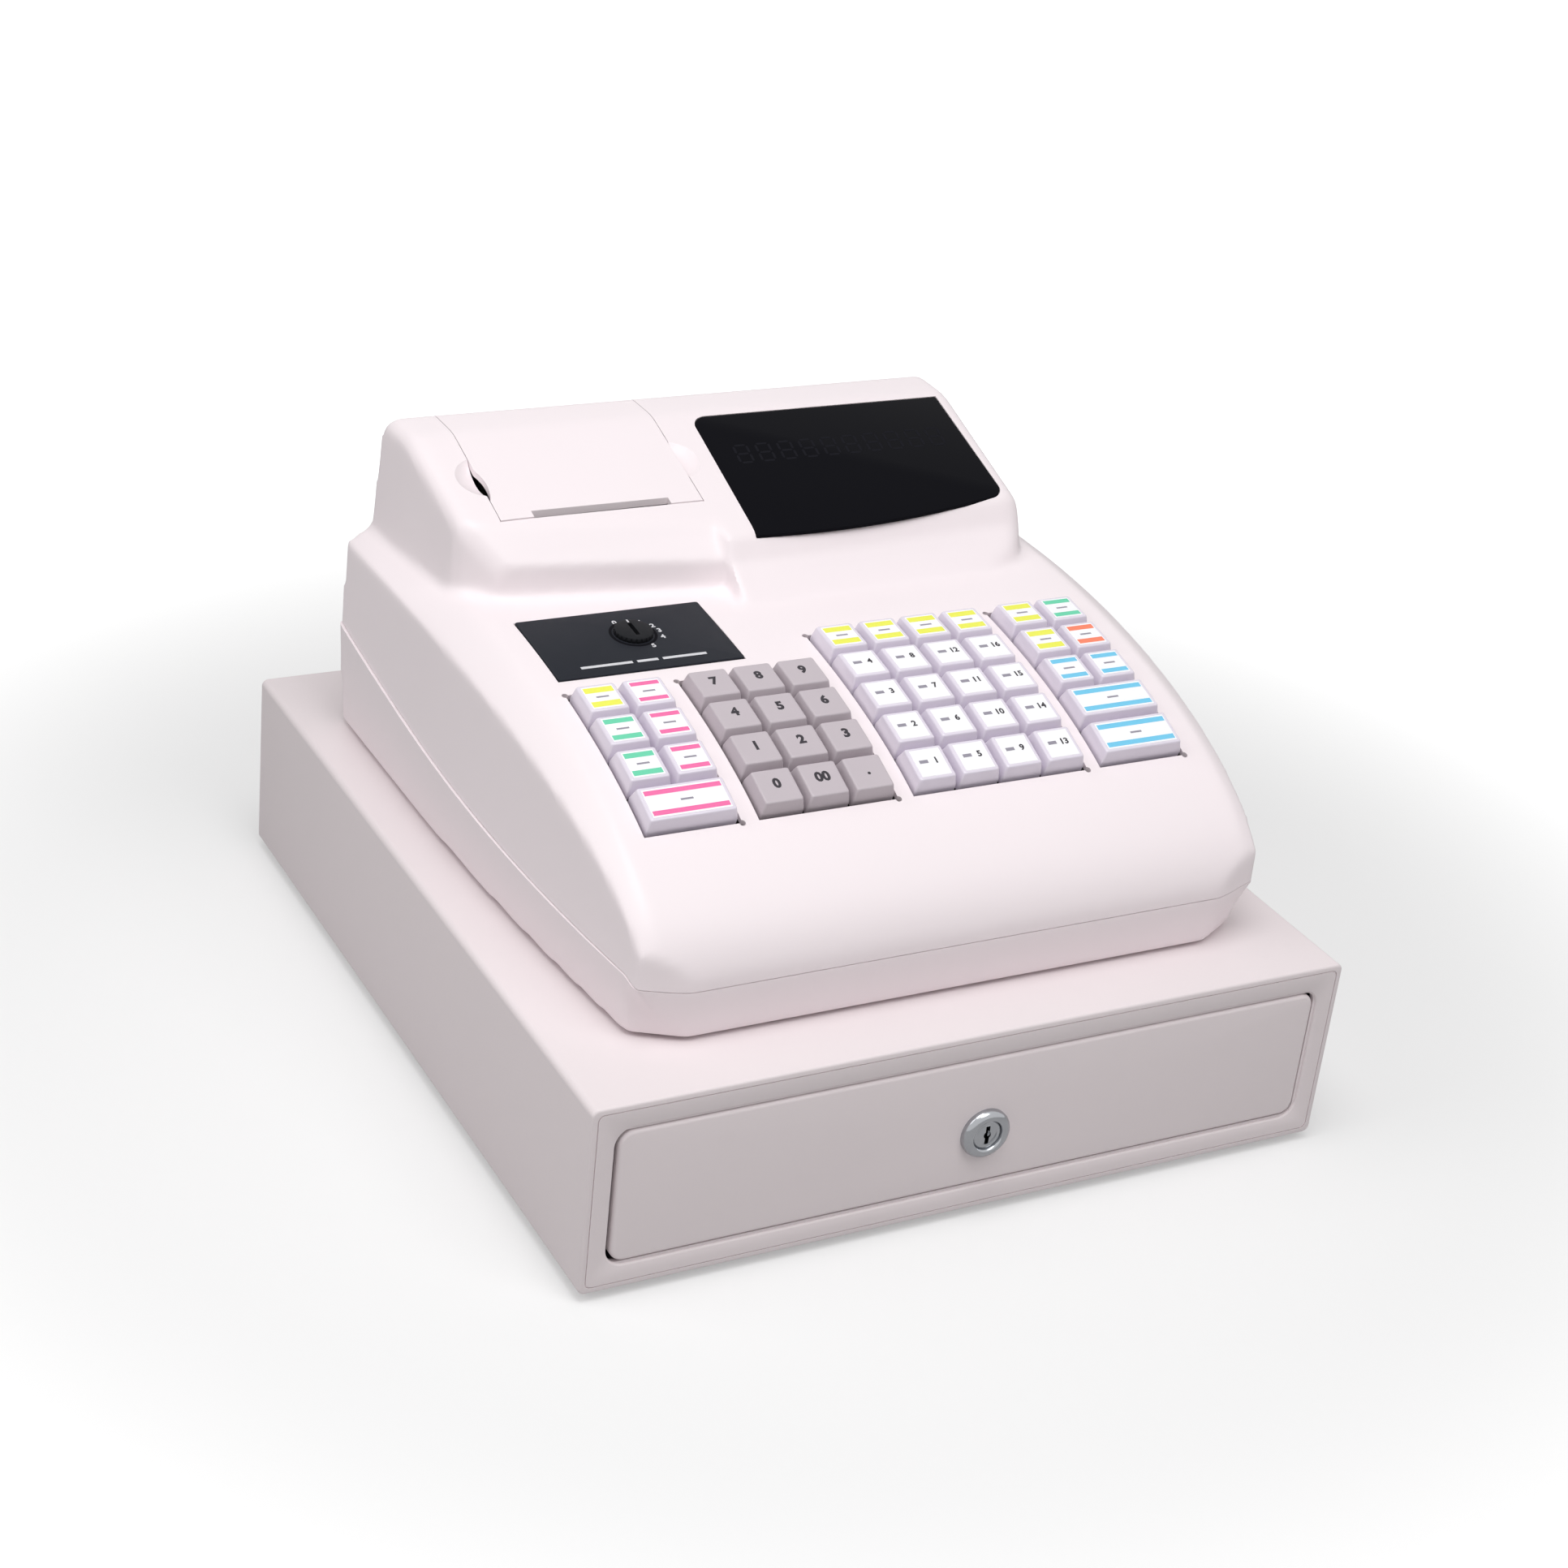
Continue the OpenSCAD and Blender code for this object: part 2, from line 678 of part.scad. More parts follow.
module drawer_feet() color(rubber)
    for (x = [-1, 1], y = [front_y + foot_inset, back_y - foot_inset])
        translate([x * (case_w / 2 - foot_inset), y, 0])
            rotate_extrude() polygon([[0, 0], [foot_d / 2 - 1.5, 0], [foot_d / 2, 1.5],
                [foot_d / 2 - 1, foot_h], [0, foot_h]]);

module drawer_rails() color(steel) {
    for (side = [-1, 1]) mirror([side < 0 ? 1 : 0, 0, 0]) {
        difference() {
            translate([box_w / 2 + wheel_gap / 2, rail_front, wheel_z - rail_h / 2 - sheet_t])
                cube([in_w / 2 - box_w / 2 - wheel_gap / 2, rail_back - rail_front, rail_h + 2 * sheet_t]);
            translate([box_w / 2, rail_front - 1, wheel_z - rail_h / 2])
                cube([rail_in - box_w / 2, rail_back - rail_front + 2, rail_h]);
        }
        // stop that the wheel runs up against with the drawer open
        translate([rail_in - wheel_w, stop_y - stop_t, wheel_z - rail_h / 2 - eps])
            cube([wheel_w + eps, stop_t, rail_h + 2 * eps]);
    }
    // glide blocks under the front of the box
    for (side = [-1, 1]) translate([side * (box_w / 2 - 20) - 10, rail_front + 4, floor_z + sheet_t])
        cube([20, 24, box_z - floor_z - sheet_t - clear]);
}

module drawer_front() color(ivory_case) difference() {
    round_bar(front_w, front_h, panel_r, front_y, front_y + panel_depth);
    round_bar(front_w - 2 * front_skin, front_h - 2 * front_skin, panel_r - front_skin,
        front_y + front_skin, front_y + panel_depth + 1);
    rod_y(barrel_r, front_y - 1, front_y + panel_depth, lock_x, lock_mid_z);
}

module drawer_box() color(steel) {
    difference() {
        translate([-box_w / 2, box_y, box_z]) cube([box_w, box_d, box_h]);
        translate([-box_w / 2 + sheet_t, box_y + sheet_t, box_z + sheet_t])
            cube([box_w - 2 * sheet_t, box_d - 2 * sheet_t, box_h]);
        rod_y(barrel_r + fit, box_y - 1, box_y + 2 * sheet_t, lock_x, lock_mid_z);
    }
    // axle studs of the wheels
    for (side = [-1, 1]) mirror([side < 0 ? 1 : 0, 0, 0])
        rod_x(axle_r, box_w / 2 - sheet_t, wheel_x + wheel_w + wheel_gap / 2, wheel_y, wheel_z);
    // slotted tongue that the latch hooks into
    difference() {
        translate([-striker_w / 2, box_back - sheet_t, striker_z])
            cube([striker_w, striker_end - box_back + sheet_t, striker_t]);
        translate([-latch_w / 2 - 1, striker_slot_y, striker_z - 1])
            cube([latch_w + 2, striker_slot_len, striker_t + 2]);
    }
}

module drawer_wheels() color(nylon)
    for (side = [-1, 1]) mirror([side < 0 ? 1 : 0, 0, 0]) difference() {
        rod_x(wheel_d / 2, wheel_x, wheel_x + wheel_w, wheel_y, wheel_z);
        rod_x(axle_r + fit, wheel_x - 1, wheel_x + wheel_w + 1, wheel_y, wheel_z);
    }

module cash_tray() color(black) {
    difference() {
        translate([-tray_w / 2, tray_front, tray_z]) cube([tray_w, tray_len, tray_h]);
        for (k = [0:note_bays - 1])
            translate([-tray_w / 2 + tray_t + k * note_pitch, note_y, tray_floor])
                cube([note_pitch - tray_t, note_len, tray_h]);
        for (k = [0:coin_cups - 1]) intersection() {
            translate([-tray_w / 2 + tray_t + k * coin_pitch, tray_front + tray_t, tray_z])
                cube([coin_pitch - tray_t, coin_len, tray_h + 1]);
            rod_x(coin_r, -tray_w / 2, tray_w / 2, tray_front + tray_t + coin_len / 2, tray_floor + coin_r);
        }
    }
    // lugs that carry the note clips
    for (k = [0:note_bays - 1]) {
        mid = -tray_w / 2 + tray_t / 2 + (k + 0.5) * note_pitch;
        lug_x = hub_w / 2 + side_gap + lug_t / 2;
        for (side = [-1, 1]) difference() {
            translate([mid + side * lug_x - lug_t / 2, clip_y - 4, clip_z - lug_h + 5])
                cube([lug_t, note_y + note_len - clip_y + 4 + eps, lug_h]);
            rod_x(pin_r + fit, mid - hub_w, mid + hub_w, clip_y, clip_z);
        }
    }
}

module note_clips() color(black)
    for (k = [0:note_bays - 1]) {
        mid = -tray_w / 2 + tray_t / 2 + (k + 0.5) * note_pitch;
        rod_x(hub_r, mid - hub_w / 2, mid + hub_w / 2, clip_y, clip_z);
        rod_x(pin_r, mid - hub_w / 2 - pin_len + 1, mid + hub_w / 2 + pin_len - 1, clip_y, clip_z);
        translate([mid, clip_y, clip_z]) rotate([clip_drop, 0, 0]) {
            translate([-clip_w / 2, -clip_len, -clip_t / 2]) cube([clip_w, clip_len, clip_t]);
            rod_x(pad_r, -pad_w / 2, pad_w / 2, -clip_len, 0);
        }
    }

module lock_barrel() color(chrome) difference() {
    union() {
        rod_y(barrel_r, front_y - eps, front_y + barrel_len, lock_x, lock_mid_z);
        translate([lock_x, front_y, lock_mid_z]) rotate([90, 0, 0]) rotate_extrude()
            polygon([[0, 0], [lock_d / 2, 0], [lock_d / 2, lock_proud - lock_edge],
                [lock_d / 2 - lock_edge, lock_proud], [0, lock_proud]]);
    }
    rod_y(plug_r + fit, front_y - lock_proud - 1, front_y + barrel_len + 1, lock_x, lock_mid_z);
}

module lock_plug() color(chrome) {
    difference() {
        rod_y(plug_r, front_y - lock_proud + face_t, cam_y + cam_t, lock_x, lock_mid_z);
        translate([lock_x - keyway_w / 2, front_y - lock_proud, lock_mid_z - keyway_h / 2])
            cube([keyway_w, keyway_depth, keyway_h]);
    }
    translate([lock_x, cam_y, lock_mid_z - cam_w / 2]) cube([cam_len - cam_w / 2, cam_t, cam_w]);
    rod_y(cam_w / 2, cam_y, cam_y + cam_t, lock_x + cam_len - cam_w / 2, lock_mid_z);
}

module drawer_latch() color(steel) difference() {
    union() {
        rod_x(latch_t, -latch_w / 2, latch_w / 2, latch_y, latch_z);
        translate([-latch_w / 2, latch_y - latch_reach, latch_z - latch_t / 2])
            cube([latch_w, latch_reach, latch_t]);
        translate([-latch_w / 2, latch_y - latch_reach, latch_z]) cube([latch_w, latch_t - 1, latch_hook]);
    }
    rod_x(axle_r + fit, -latch_w, latch_w, latch_y, latch_z);
}

// ---- till case ----

module on_till() translate([till_x, 0, 0]) children();

// the underside starts at base_front_y; in front of it the lower edge climbs to the seam
base_front_y = till_front + base_front_taper;
base_ys = [for (y = deck_ys) if (y < base_front_y - 0.5) y, base_front_y,
    for (y = deck_ys) if (y > base_front_y + 0.5) y];
function foot_x(y) = y >= corner_foot_y ? side_x(y) - base_taper
    : y >= base_front_y
        ? corner_foot_x - (corner_foot_y - y) * corner_w / (corner_foot_y - base_front_y)
        : corner_foot_x - corner_w + (base_front_y - y) * base_taper / base_front_taper;
function base_row(y, i) = let(
    top = seam_at(y) + (i > 0 ? wall : 0),
    half = side_x(y) - i,
    half_low = foot_x(y) - i,
    climb = (seam_z - till_z - i - 1) / base_front_taper,
    low = till_z + i + max(0, base_front_y - y) * climb,
    y2 = i > 0 ? min(till_back - i, y + (y < bow_y ? i : 0)) : y)
    [[-half_low, y2, low], [-half, y2, top], [half, y2, top], [half_low, y2, low]];

module base_case() color(ivory) {
    difference() {
        union() {
            difference() {
                on_till() loft([for (y = base_ys) base_row(y, 0)]);
                on_till() loft([for (y = base_ys) base_row(y, wall)]);
            }
            for (p = SCREWS) {
                translate([p[0], p[1], till_z - till_lift]) cylinder(r = pad_d / 2, h = till_lift + eps);
                translate([p[0], p[1], till_z]) cylinder(r = post_r, h = post_top - till_z);
            }
        }
        for (p = SCREWS) translate([p[0], p[1], till_z - till_lift - 1]) {
            cylinder(r = screw_r + fit, h = screw_len + 20);
            cylinder(r = screw_head_r + clear, h = till_lift + 1 + screw_head_h + screw_sink);
        }
        round_bar(inlet_w, inlet_h, inlet_r + inlet_gap / 2, till_back - wall - 1, till_back + 1,
            inlet_x, inlet_z + inlet_h / 2);
    }
    for (x = [main_x + 5, main_x + main_w - 5], y = [main_y + 5, main_y + main_d - 5])
        translate([x, y, base_floor - eps]) cylinder(r = standoff_r, h = standoff_h + eps);
}

// opening for a key group, square to the keyboard's chord
module group_opening(x, cols, rows)
    translate([x - group_gap, kb_y0, kb_z0]) rotate([kb_angle, 0, 0])
        translate([0, -group_gap, -20])
            cube([cols * key_pitch + 2 * group_gap, rows * key_pitch + 2 * group_gap, 40]);

// places a child on the mode panel's plane, with its origin at the panel's front left corner
module on_mode_panel()
    translate([mode_x, mode_y0, deck_top(mode_y0)]) rotate([mode_angle, 0, 0]) children();

// places a child on the hump's sloping top, origin on the ridge line, -Y down the slope
module on_slope() translate([0, ridge_y, ridge_z]) rotate([top_angle, 0, 0]) children();

// outline of the display window, grown by g
module window_shape(g) {
    x0 = window_x - g;
    x1 = window_x + window_w + g;
    top = -window_top + g;
    left = -window_top - window_left - g;
    right = -window_top - window_right - g;
    r = window_corner + g;
    steps = 6;
    polygon([
        for (k = [0:steps]) let(a = 180 - 90 * k / steps) [x0 + r + r * cos(a), top - r + r * sin(a)],
        [x1, top],
        for (k = [0:steps]) let(a = -75 * k / steps) [x1 - r + r * cos(a), right + r + r * sin(a)],
        for (k = [1:steps - 1]) let(t = k / steps, sag = window_sag * 4 * t * (1 - t))
            [x1 - r + (x0 - window_lean - x1 + r) * t, right + (left - right) * t - sag],
        [x0 - window_lean, left]]);
}

grip_places = [[cover_x0 + grip_in, grip_y], [cover_x1 - grip_in, grip_y]];
module grip_ball(r, at) translate([at[0], at[1], top_plane(at[1]) + grip_r - grip_depth]) sphere(r);

module cover_cut(g) {
    y0 = cover_y0 - (g > 0 ? cover_front_gap : 0);
    translate([cover_x0 - g, y0, cover_low - g])
        cube([cover_w + 2 * g, hump_back - wall - g - y0, hump_up]);
    translate([cover_x0 - g, y0, cover_back_z - g]) cube([cover_w + 2 * g, till_back + 1 - y0, hump_up]);
}

module upper_case() color(ivory) difference() {
    union() {
        difference() {
            union() {
                on_till() loft(deck_outer);
                hump(0);
            }
            on_till() loft(deck_form(wall, seam_z - wall));
            hump(wall);
        }
        // thicker wall behind the finger dishes
        intersection() {
            hump(0);
            for (p = grip_places) grip_ball(grip_r + wall, p);
        }
        // bosses that the case screws turn into
        intersection() {
            on_till() loft(deck_form(wall / 2, till_z));
            for (p = SCREWS) translate([p[0], p[1], post_top + clear]) cylinder(r = boss_r, h = deck_up);
        }
        // outer knuckles of the cover's hinge
        for (x = case_knuckles) hinge_knuckle(x, wall / 2);
    }
    for (p = SCREWS) translate([p[0], p[1], post_top - 1])
        cylinder(r = screw_r + fit / 4, h = screw_bite + 5);
    for (g = GROUPS) group_opening(g[0], g[1], g[2]);
    for (p = grip_places) grip_ball(grip_r, p);
    difference() {
        cover_cut(cover_gap);
        for (x = case_knuckles) hinge_room(x);
    }
    for (x = [-1, 1]) rod_x(hinge_pin_r + fit, cover_mid + x * knuckle_x - 2 * knuckle_w,
        cover_mid + x * knuckle_x + 2 * knuckle_w, hinge_y, hinge_z);
    // mode panel: shallow pocket and a hole for the switch
    on_mode_panel() translate([-mode_gap, -mode_gap, -mode_t + mode_proud])
        cube([mode_w + 2 * mode_gap, mode_d + 2 * mode_gap, 10]);
    on_mode_panel() translate([dial_x - mode_x, dial_s, -10]) cylinder(r = switch_r + clear, h = 20);
    // display window: seat and opening
    on_slope() translate([0, 0, -window_t]) linear_extrude(20) window_shape(window_seat);
    on_slope() translate([0, 0, -12]) linear_extrude(20) window_shape(-window_rest);
    // customer window in the back
    translate([customer_x, hump_back - window_t, customer_z])
        cube([customer_w, window_t + 2, customer_h]);
    translate([customer_x + window_rest, hump_back - wall - 2, customer_z + window_rest])
        cube([customer_w - 2 * window_rest, wall + 4, customer_h - 2 * window_rest]);
}

// knuckle around the hinge axis with a short web to the case
module hinge_knuckle(x, root) {
    rod_x(hinge_r, x - knuckle_w / 2, x + knuckle_w / 2, hinge_y, hinge_z);
    translate([x - knuckle_w / 2, hump_back - root, hinge_z - hinge_r - 3])
        cube([knuckle_w, hinge_y - hump_back + root, hinge_r + 3]);
}
// room that a case knuckle keeps when the cover's opening is cut, round where the cover swings past
module hinge_room(x) intersection() {
    translate([x - knuckle_w / 2, hinge_y - hinge_r - wall, hinge_z - 3 * hinge_r])
        cube([knuckle_w, 2 * hinge_r + wall, 4 * hinge_r]);
    union() {
        rod_x(hinge_r + wall, x - knuckle_w, x + knuckle_w, hinge_y, hinge_z);
        translate([x - knuckle_w, hinge_y - 4 * hinge_r, hinge_z - 4 * hinge_r])
            cube([2 * knuckle_w, 8 * hinge_r, 4 * hinge_r]);
    }
}

module printer_cover() color(ivory) difference() {
    union() {
        difference() {
            intersection() {
                difference() {
                    hump_slab(-till_w, step_x, printer_profile, 0, -printer_sweep);
                    hump_slab(-till_w, step_x + wall, printer_profile, wall, -printer_sweep);
                }
                cover_cut(0);
            }
            // room for the case's own knuckles
            for (x = case_knuckles)
                translate([x - knuckle_w / 2 - side_gap, hump_back - wall, hinge_z - 3 * hinge_r])
                    cube([knuckle_w + 2 * side_gap, 4 * wall, 6 * hinge_r]);
        }
        // middle knuckles and the web that joins them to the cover
        for (x = [-1, 1]) {
            rod_x(hinge_r, cover_mid + x * knuckle_x - knuckle_w / 2,
                cover_mid + x * knuckle_x + knuckle_w / 2, hinge_y, hinge_z);
            translate([cover_mid + x * knuckle_x - knuckle_w / 2, hump_back - 2 * wall, hinge_z])
                cube([knuckle_w, hinge_y - hump_back + 2 * wall, hinge_r]);
            rod_x(hinge_pin_r, cover_mid + x * knuckle_x - 1.5 * knuckle_w,
                cover_mid + x * knuckle_x + 1.5 * knuckle_w, hinge_y, hinge_z);
        }
        // ears that hang from the cover and carry the platen
        for (side = [-1, 1]) difference() {
            translate([cover_mid + side * (platen_len / 2 + ear_gap + ear_t / 2) - ear_t / 2,
                platen_y - ear_r, platen_z - ear_r])
                cube([ear_t, 2 * ear_r, top_plane(platen_y) - wall / 2 - platen_z + ear_r]);
            rod_x(platen_pin_r + fit, cover_mid - platen_len, cover_mid + platen_len, platen_y, platen_z);
        }
    }
    // paper slot
    translate([cover_mid - slot_w / 2, slot_y - slot_t / 2, top_plane(slot_y) - 2 * wall])
        cube([slot_w, slot_t, 4 * wall]);
    // finger notch in the left edge
    translate([cover_x0 + notch_w - notch_r, grip_y, top_plane(grip_y) - 4 * wall])
        cylinder(r = notch_r, h = 8 * wall);
}

// ---- printer ----

module printer_frame() color([0.20, 0.20, 0.22]) {
    difference() {
        union() {
            for (side = [-1, 1])
                translate([cover_mid + side * (frame_in + frame_t) / 2 - frame_t / 2, frame_y0, base_floor])
                    cube([frame_t, frame_y1 - frame_y0, roll_z - base_floor]);
            rod_x(bucket_r + bucket_t, cover_mid - frame_in / 2 - eps, cover_mid + frame_in / 2 + eps,
                roll_y, roll_z);
        }
        rod_x(bucket_r, cover_mid - frame_in / 2, cover_mid + frame_in / 2, roll_y, roll_z);
        translate([cover_mid - frame_in, frame_y0 - 1, roll_z])
            cube([2 * frame_in, 2 * (frame_y1 - frame_y0), roll_d]);
        // notches that the cover's ears drop into
        translate([cover_mid - frame_in, platen_y - ear_r - ear_room, platen_z - ear_r - ear_room / 2])
            cube([2 * frame_in, 2 * (ear_r + ear_room), roll_d]);
    }
    // cross beam that carries the print head
    translate([cover_mid - frame_in / 2, frame_y0 + 4, roll_z - 14])
        cube([frame_in, platen_y - platen_d / 2 - head_gap - frame_y0 - 4, 12]);
    translate([cover_mid - frame_in / 2 + 3, platen_y - platen_d / 2 - head_gap - head_t, roll_z - 2 - eps])
        cube([frame_in - 6, head_t, platen_z - roll_z + 2]);
}

module platen_roller() color(rubber) {
    rod_x(platen_d / 2, cover_mid - platen_len / 2, cover_mid + platen_len / 2, platen_y, platen_z);
    rod_x(platen_pin_r, cover_mid - platen_len / 2 - platen_pin, cover_mid + platen_len / 2 + platen_pin,
        platen_y, platen_z);
}

module paper_roll() color([0.97, 0.97, 0.95]) difference() {
    rod_x(roll_d / 2, cover_mid - roll_w / 2, cover_mid + roll_w / 2, roll_y, roll_z);
    rod_x(roll_core_r, cover_mid - roll_w, cover_mid + roll_w, roll_y, roll_z);
}

// ---- displays ----

module display_window() color(black) on_slope()
    translate([0, 0, -window_t]) linear_extrude(window_t) window_shape(0);

module customer_window() color(black)
    translate([customer_x + window_seat, hump_back - window_t, customer_z + window_seat])
        cube([customer_w - 2 * window_seat, window_t, customer_h - 2 * window_seat]);

module display_board() {
    span = digit_count * digit_pitch;
    digit_mid = -window_top - window_right / 2;
    board_z = -window_t - display_drop - pcb_t;
    color(board_green) on_slope()
        translate([window_x + board_inset, digit_mid - digit_h - board_inset, board_z])
            cube([window_w - 2 * board_inset - 2, 2 * digit_h + 2 * board_inset - 2, pcb_t]);
    color(black) on_slope() for (k = [0:digit_count - 1])
        translate([window_x + window_w / 2 - span / 2 + k * digit_pitch, digit_mid - digit_h / 2,
            -window_t - display_drop])
            cube([digit_w, digit_h, digit_t]);
    // customer display on its own small board
    customer_y = hump_back - window_t - display_drop;
    customer_mid = customer_x + customer_w / 2 - customer_digits * digit_pitch / 2;
    color(board_green) translate([customer_x + board_inset, customer_y - pcb_t, customer_z + 1])
        cube([customer_w - 2 * board_inset, pcb_t, customer_h - 2]);
    color(black) for (k = [0:customer_digits - 1])
        translate([customer_mid + k * digit_pitch, customer_y, customer_z + (customer_h - digit_h) / 2])
            cube([digit_w, digit_t, digit_h]);
}

// ---- mode lock ----

module mode_panel() color(black) on_mode_panel() difference() {
    translate([0, 0, -mode_t + mode_proud]) cube([mode_w, mode_d, mode_t]);
    translate([dial_x - mode_x, dial_s, -5]) cylinder(r = shaft_r + 1.5, h = 10);
}

module mode_switch() color([0.25, 0.25, 0.27]) on_mode_panel() difference() {
    translate([dial_x - mode_x, dial_s, -mode_t + mode_proud - switch_h])
        cylinder(r = switch_r, h = switch_h);
    translate([dial_x - mode_x, dial_s, -switch_h]) cylinder(r = shaft_r + fit, h = 2 * switch_h);
}

module mode_plug() color([0.16, 0.16, 0.18]) on_mode_panel() difference() {
    union() {
        translate([dial_x - mode_x, dial_s, mode_proud + clear]) cylinder(r = dial_d / 2, h = dial_h);
        translate([dial_x - mode_x, dial_s, 3 - switch_h]) cylinder(r = shaft_r, h = switch_h);
    }
    translate([dial_x - mode_x - dial_slot_w / 2, dial_s - dial_slot_l / 2,
        mode_proud + clear + dial_h - dial_slot_d])
        cube([dial_slot_w, dial_slot_l, dial_slot_d + 1]);
}

// ---- keyboard ----

// places a child on the keyboard's chord plane, origin at its front edge
module on_board() translate([0, kb_y0, kb_z0]) rotate([kb_angle, 0, 0]) children();

module keyboard_frame() color([0.30, 0.30, 0.32]) {
    on_board() difference() {
        translate([kb_x0, -2, -frame_drop - guide_t]) cube([kb_x1 - kb_x0, kb_len + 2, guide_t]);
        for (g = GROUPS, c = [0:g[1] - 1], r = [0:g[2] - 1])
            translate([g[0] + (c + 0.5) * key_pitch, (r + 0.5) * key_pitch, -frame_drop - 2 * guide_t])
                cylinder(r = stem_d / 2 + guide_fit, h = 3 * guide_t);
    }
    on_board() for (p = PILLARS) translate([p[0], p[1], -frame_drop - eps])
        cylinder(r = pillar_r, h = frame_drop + bulge(p[1]) - wall - 2 * clear);
}

module keyboard_board() {
    color(board_green) on_board() translate([kb_x0, -2, -board_drop - pcb_t])
        cube([kb_x1 - kb_x0, kb_len + 2, pcb_t]);
    color([0.35, 0.35, 0.35]) on_board() for (g = GROUPS, c = [0:g[1] - 1], r = [0:g[2] - 1])
        translate([g[0] + (c + 0.5) * key_pitch, (r + 0.5) * key_pitch, -board_drop - eps])
            cylinder(r = stem_d / 2 + 1, h = 1);
    // spacers between the board and the guide plate
    color([0.35, 0.35, 0.35]) on_board() for (x = [kb_x0 + 4, kb_x1 - 4], s = [4, kb_len - 6])
        translate([x, s, -board_drop - eps]) cylinder(r = 2.5, h = board_drop - frame_drop - guide_t + eps);
}

// one key: col and row count from its group's front left cell, span is its width in cells
module key(group, col, row, span = 1) {
    s = (row + 0.5) * key_pitch;
    x = group[0] + (col + span / 2) * key_pitch;
    p = key_point(s);
    w = cap_w + (span - 1) * key_pitch;
    translate([x, p[0], p[1]]) rotate([key_tilt(s), 0, 0]) difference() {
        hull() {
            translate([-w / 2, -cap_w / 2, -cap_skirt]) cube([w, cap_w, cap_skirt + 0.4]);
            translate([-w / 2 + cap_taper, -cap_w / 2 + cap_taper, cap_h - cap_top_t])
                cube([w - 2 * cap_taper, cap_w - 2 * cap_taper, cap_top_t]);
        }
        translate([-w / 2 + cap_taper + cap_wall, -cap_w / 2 + cap_taper + cap_wall, -cap_skirt - 1])
            cube([w - 2 * cap_taper - 2 * cap_wall, cap_w - 2 * cap_taper - 2 * cap_wall,
                cap_skirt + 1 + cap_h - cap_wall - cap_top_t]);
    }
    for (k = [0:span - 1])
        translate([group[0] + (col + k + 0.5) * key_pitch, p[0], p[1]]) rotate([kb_angle, 0, 0])
            translate([0, 0, -stem_end - bulge(s)])
                cylinder(r = stem_d / 2, h = stem_end + bulge(s) + cap_h - cap_wall);
}
module digit_key(col, row) color(key_grey) key(GROUPS[1], col, row);
module left_key(col, row, span = 1) color(key_white) key(GROUPS[0], col, row, span);
module right_key(col, row, span = 1) color(key_white) key(GROUPS[3], col, row, span);
module dept_column(col) color(key_white) for (row = [0:group_rows - 1]) key(GROUPS[2], col, row);

// ---- electronics ----

module main_board() {
    z = base_floor + standoff_h;
    color(board_green) translate([main_x, main_y, z]) cube([main_w, main_d, pcb_t]);
    color(black) for (p = CHIPS)
        translate([main_x + p[0], main_y + p[1], z + pcb_t - eps]) cube([p[2], p[3], chip_t]);
    color(steel) for (p = CANS)
        translate([main_x + p[0], main_y + p[1], z + pcb_t - eps]) cylinder(r = can_r, h = can_h);
    color(nylon) for (x = SOCKETS)
        translate([main_x + x, main_y + main_d - socket_inset, z + pcb_t - eps])
            cube([socket_w, socket_t, socket_h]);
}

module power_unit() {
    mid = [power_x + core_w / 2, power_y + core_d / 2];
    color(steel) difference() {
        translate([power_x, power_y, base_floor]) cube([core_w, core_d, coil_h]);
        for (side = [-1, 1]) translate([mid[0] + side * (core_w / 4) - 5, power_y - 1, base_floor + 8])
            cube([10, core_d + 2, coil_h - 16]);
    }
    color(copper) for (side = [-1, 1])
        translate([mid[0] - coil_w / 2, mid[1] + side * (core_d / 2 + 4) - 4, base_floor + 5])
            cube([coil_w, 8, coil_h - 10]);
}

module power_inlet() color(black) {
    mid = inlet_z + inlet_h / 2;
    difference() {
        union() {
            round_bar(inlet_w - inlet_gap, inlet_h - inlet_gap, inlet_r, till_back - inlet_d,
                till_back + eps, inlet_x, mid);
            round_bar(inlet_w + 2 * inlet_lip, inlet_h + 2 * inlet_lip, inlet_r, till_back,
                till_back + inlet_lip, inlet_x, mid);
        }
        round_bar(inlet_w - 7, inlet_h - 6.4, inlet_socket_r, till_back - inlet_d + 4,
            till_back + inlet_lip + 1, inlet_x, mid);
    }
    for (side = [-1, 1])
        rod_y(inlet_pin_r, till_back - inlet_d + 3, till_back - 6, inlet_x + side * inlet_pin_x, mid);
}

module case_screws() color(steel) for (p = SCREWS)
    translate([p[0], p[1], till_z + screw_sink]) {
        cylinder(r = screw_head_r, h = screw_head_h);
        cylinder(r = screw_r, h = screw_len);
    }

drawer_housing();
drawer_feet();
drawer_rails();
drawer_front();
drawer_box();
drawer_wheels();
cash_tray();
note_clips();
lock_barrel();
lock_plug();
drawer_latch();
base_case();
upper_case();
printer_cover();
printer_frame();
platen_roller();
paper_roll();
display_window();
display_board();
customer_window();
mode_panel();
mode_switch();
mode_plug();
keyboard_frame();
keyboard_board();
main_board();
power_unit();
power_inlet();
case_screws();
digit_key(0, 0);  // digit_key_0
digit_key(1, 0);  // digit_key_00
digit_key(2, 0);  // digit_key_point
digit_key(0, 1);  // digit_key_1
digit_key(1, 1);  // digit_key_2
digit_key(2, 1);  // digit_key_3
digit_key(0, 2);  // digit_key_4
digit_key(1, 2);  // digit_key_5
digit_key(2, 2);  // digit_key_6
digit_key(0, 3);  // digit_key_7
digit_key(1, 3);  // digit_key_8
digit_key(2, 3);  // digit_key_9
left_key(0, 0, 2);  // left_key_wide
left_key(0, 1);  // left_key_1
left_key(1, 1);  // left_key_2
left_key(0, 2);  // left_key_3
left_key(1, 2);  // left_key_4
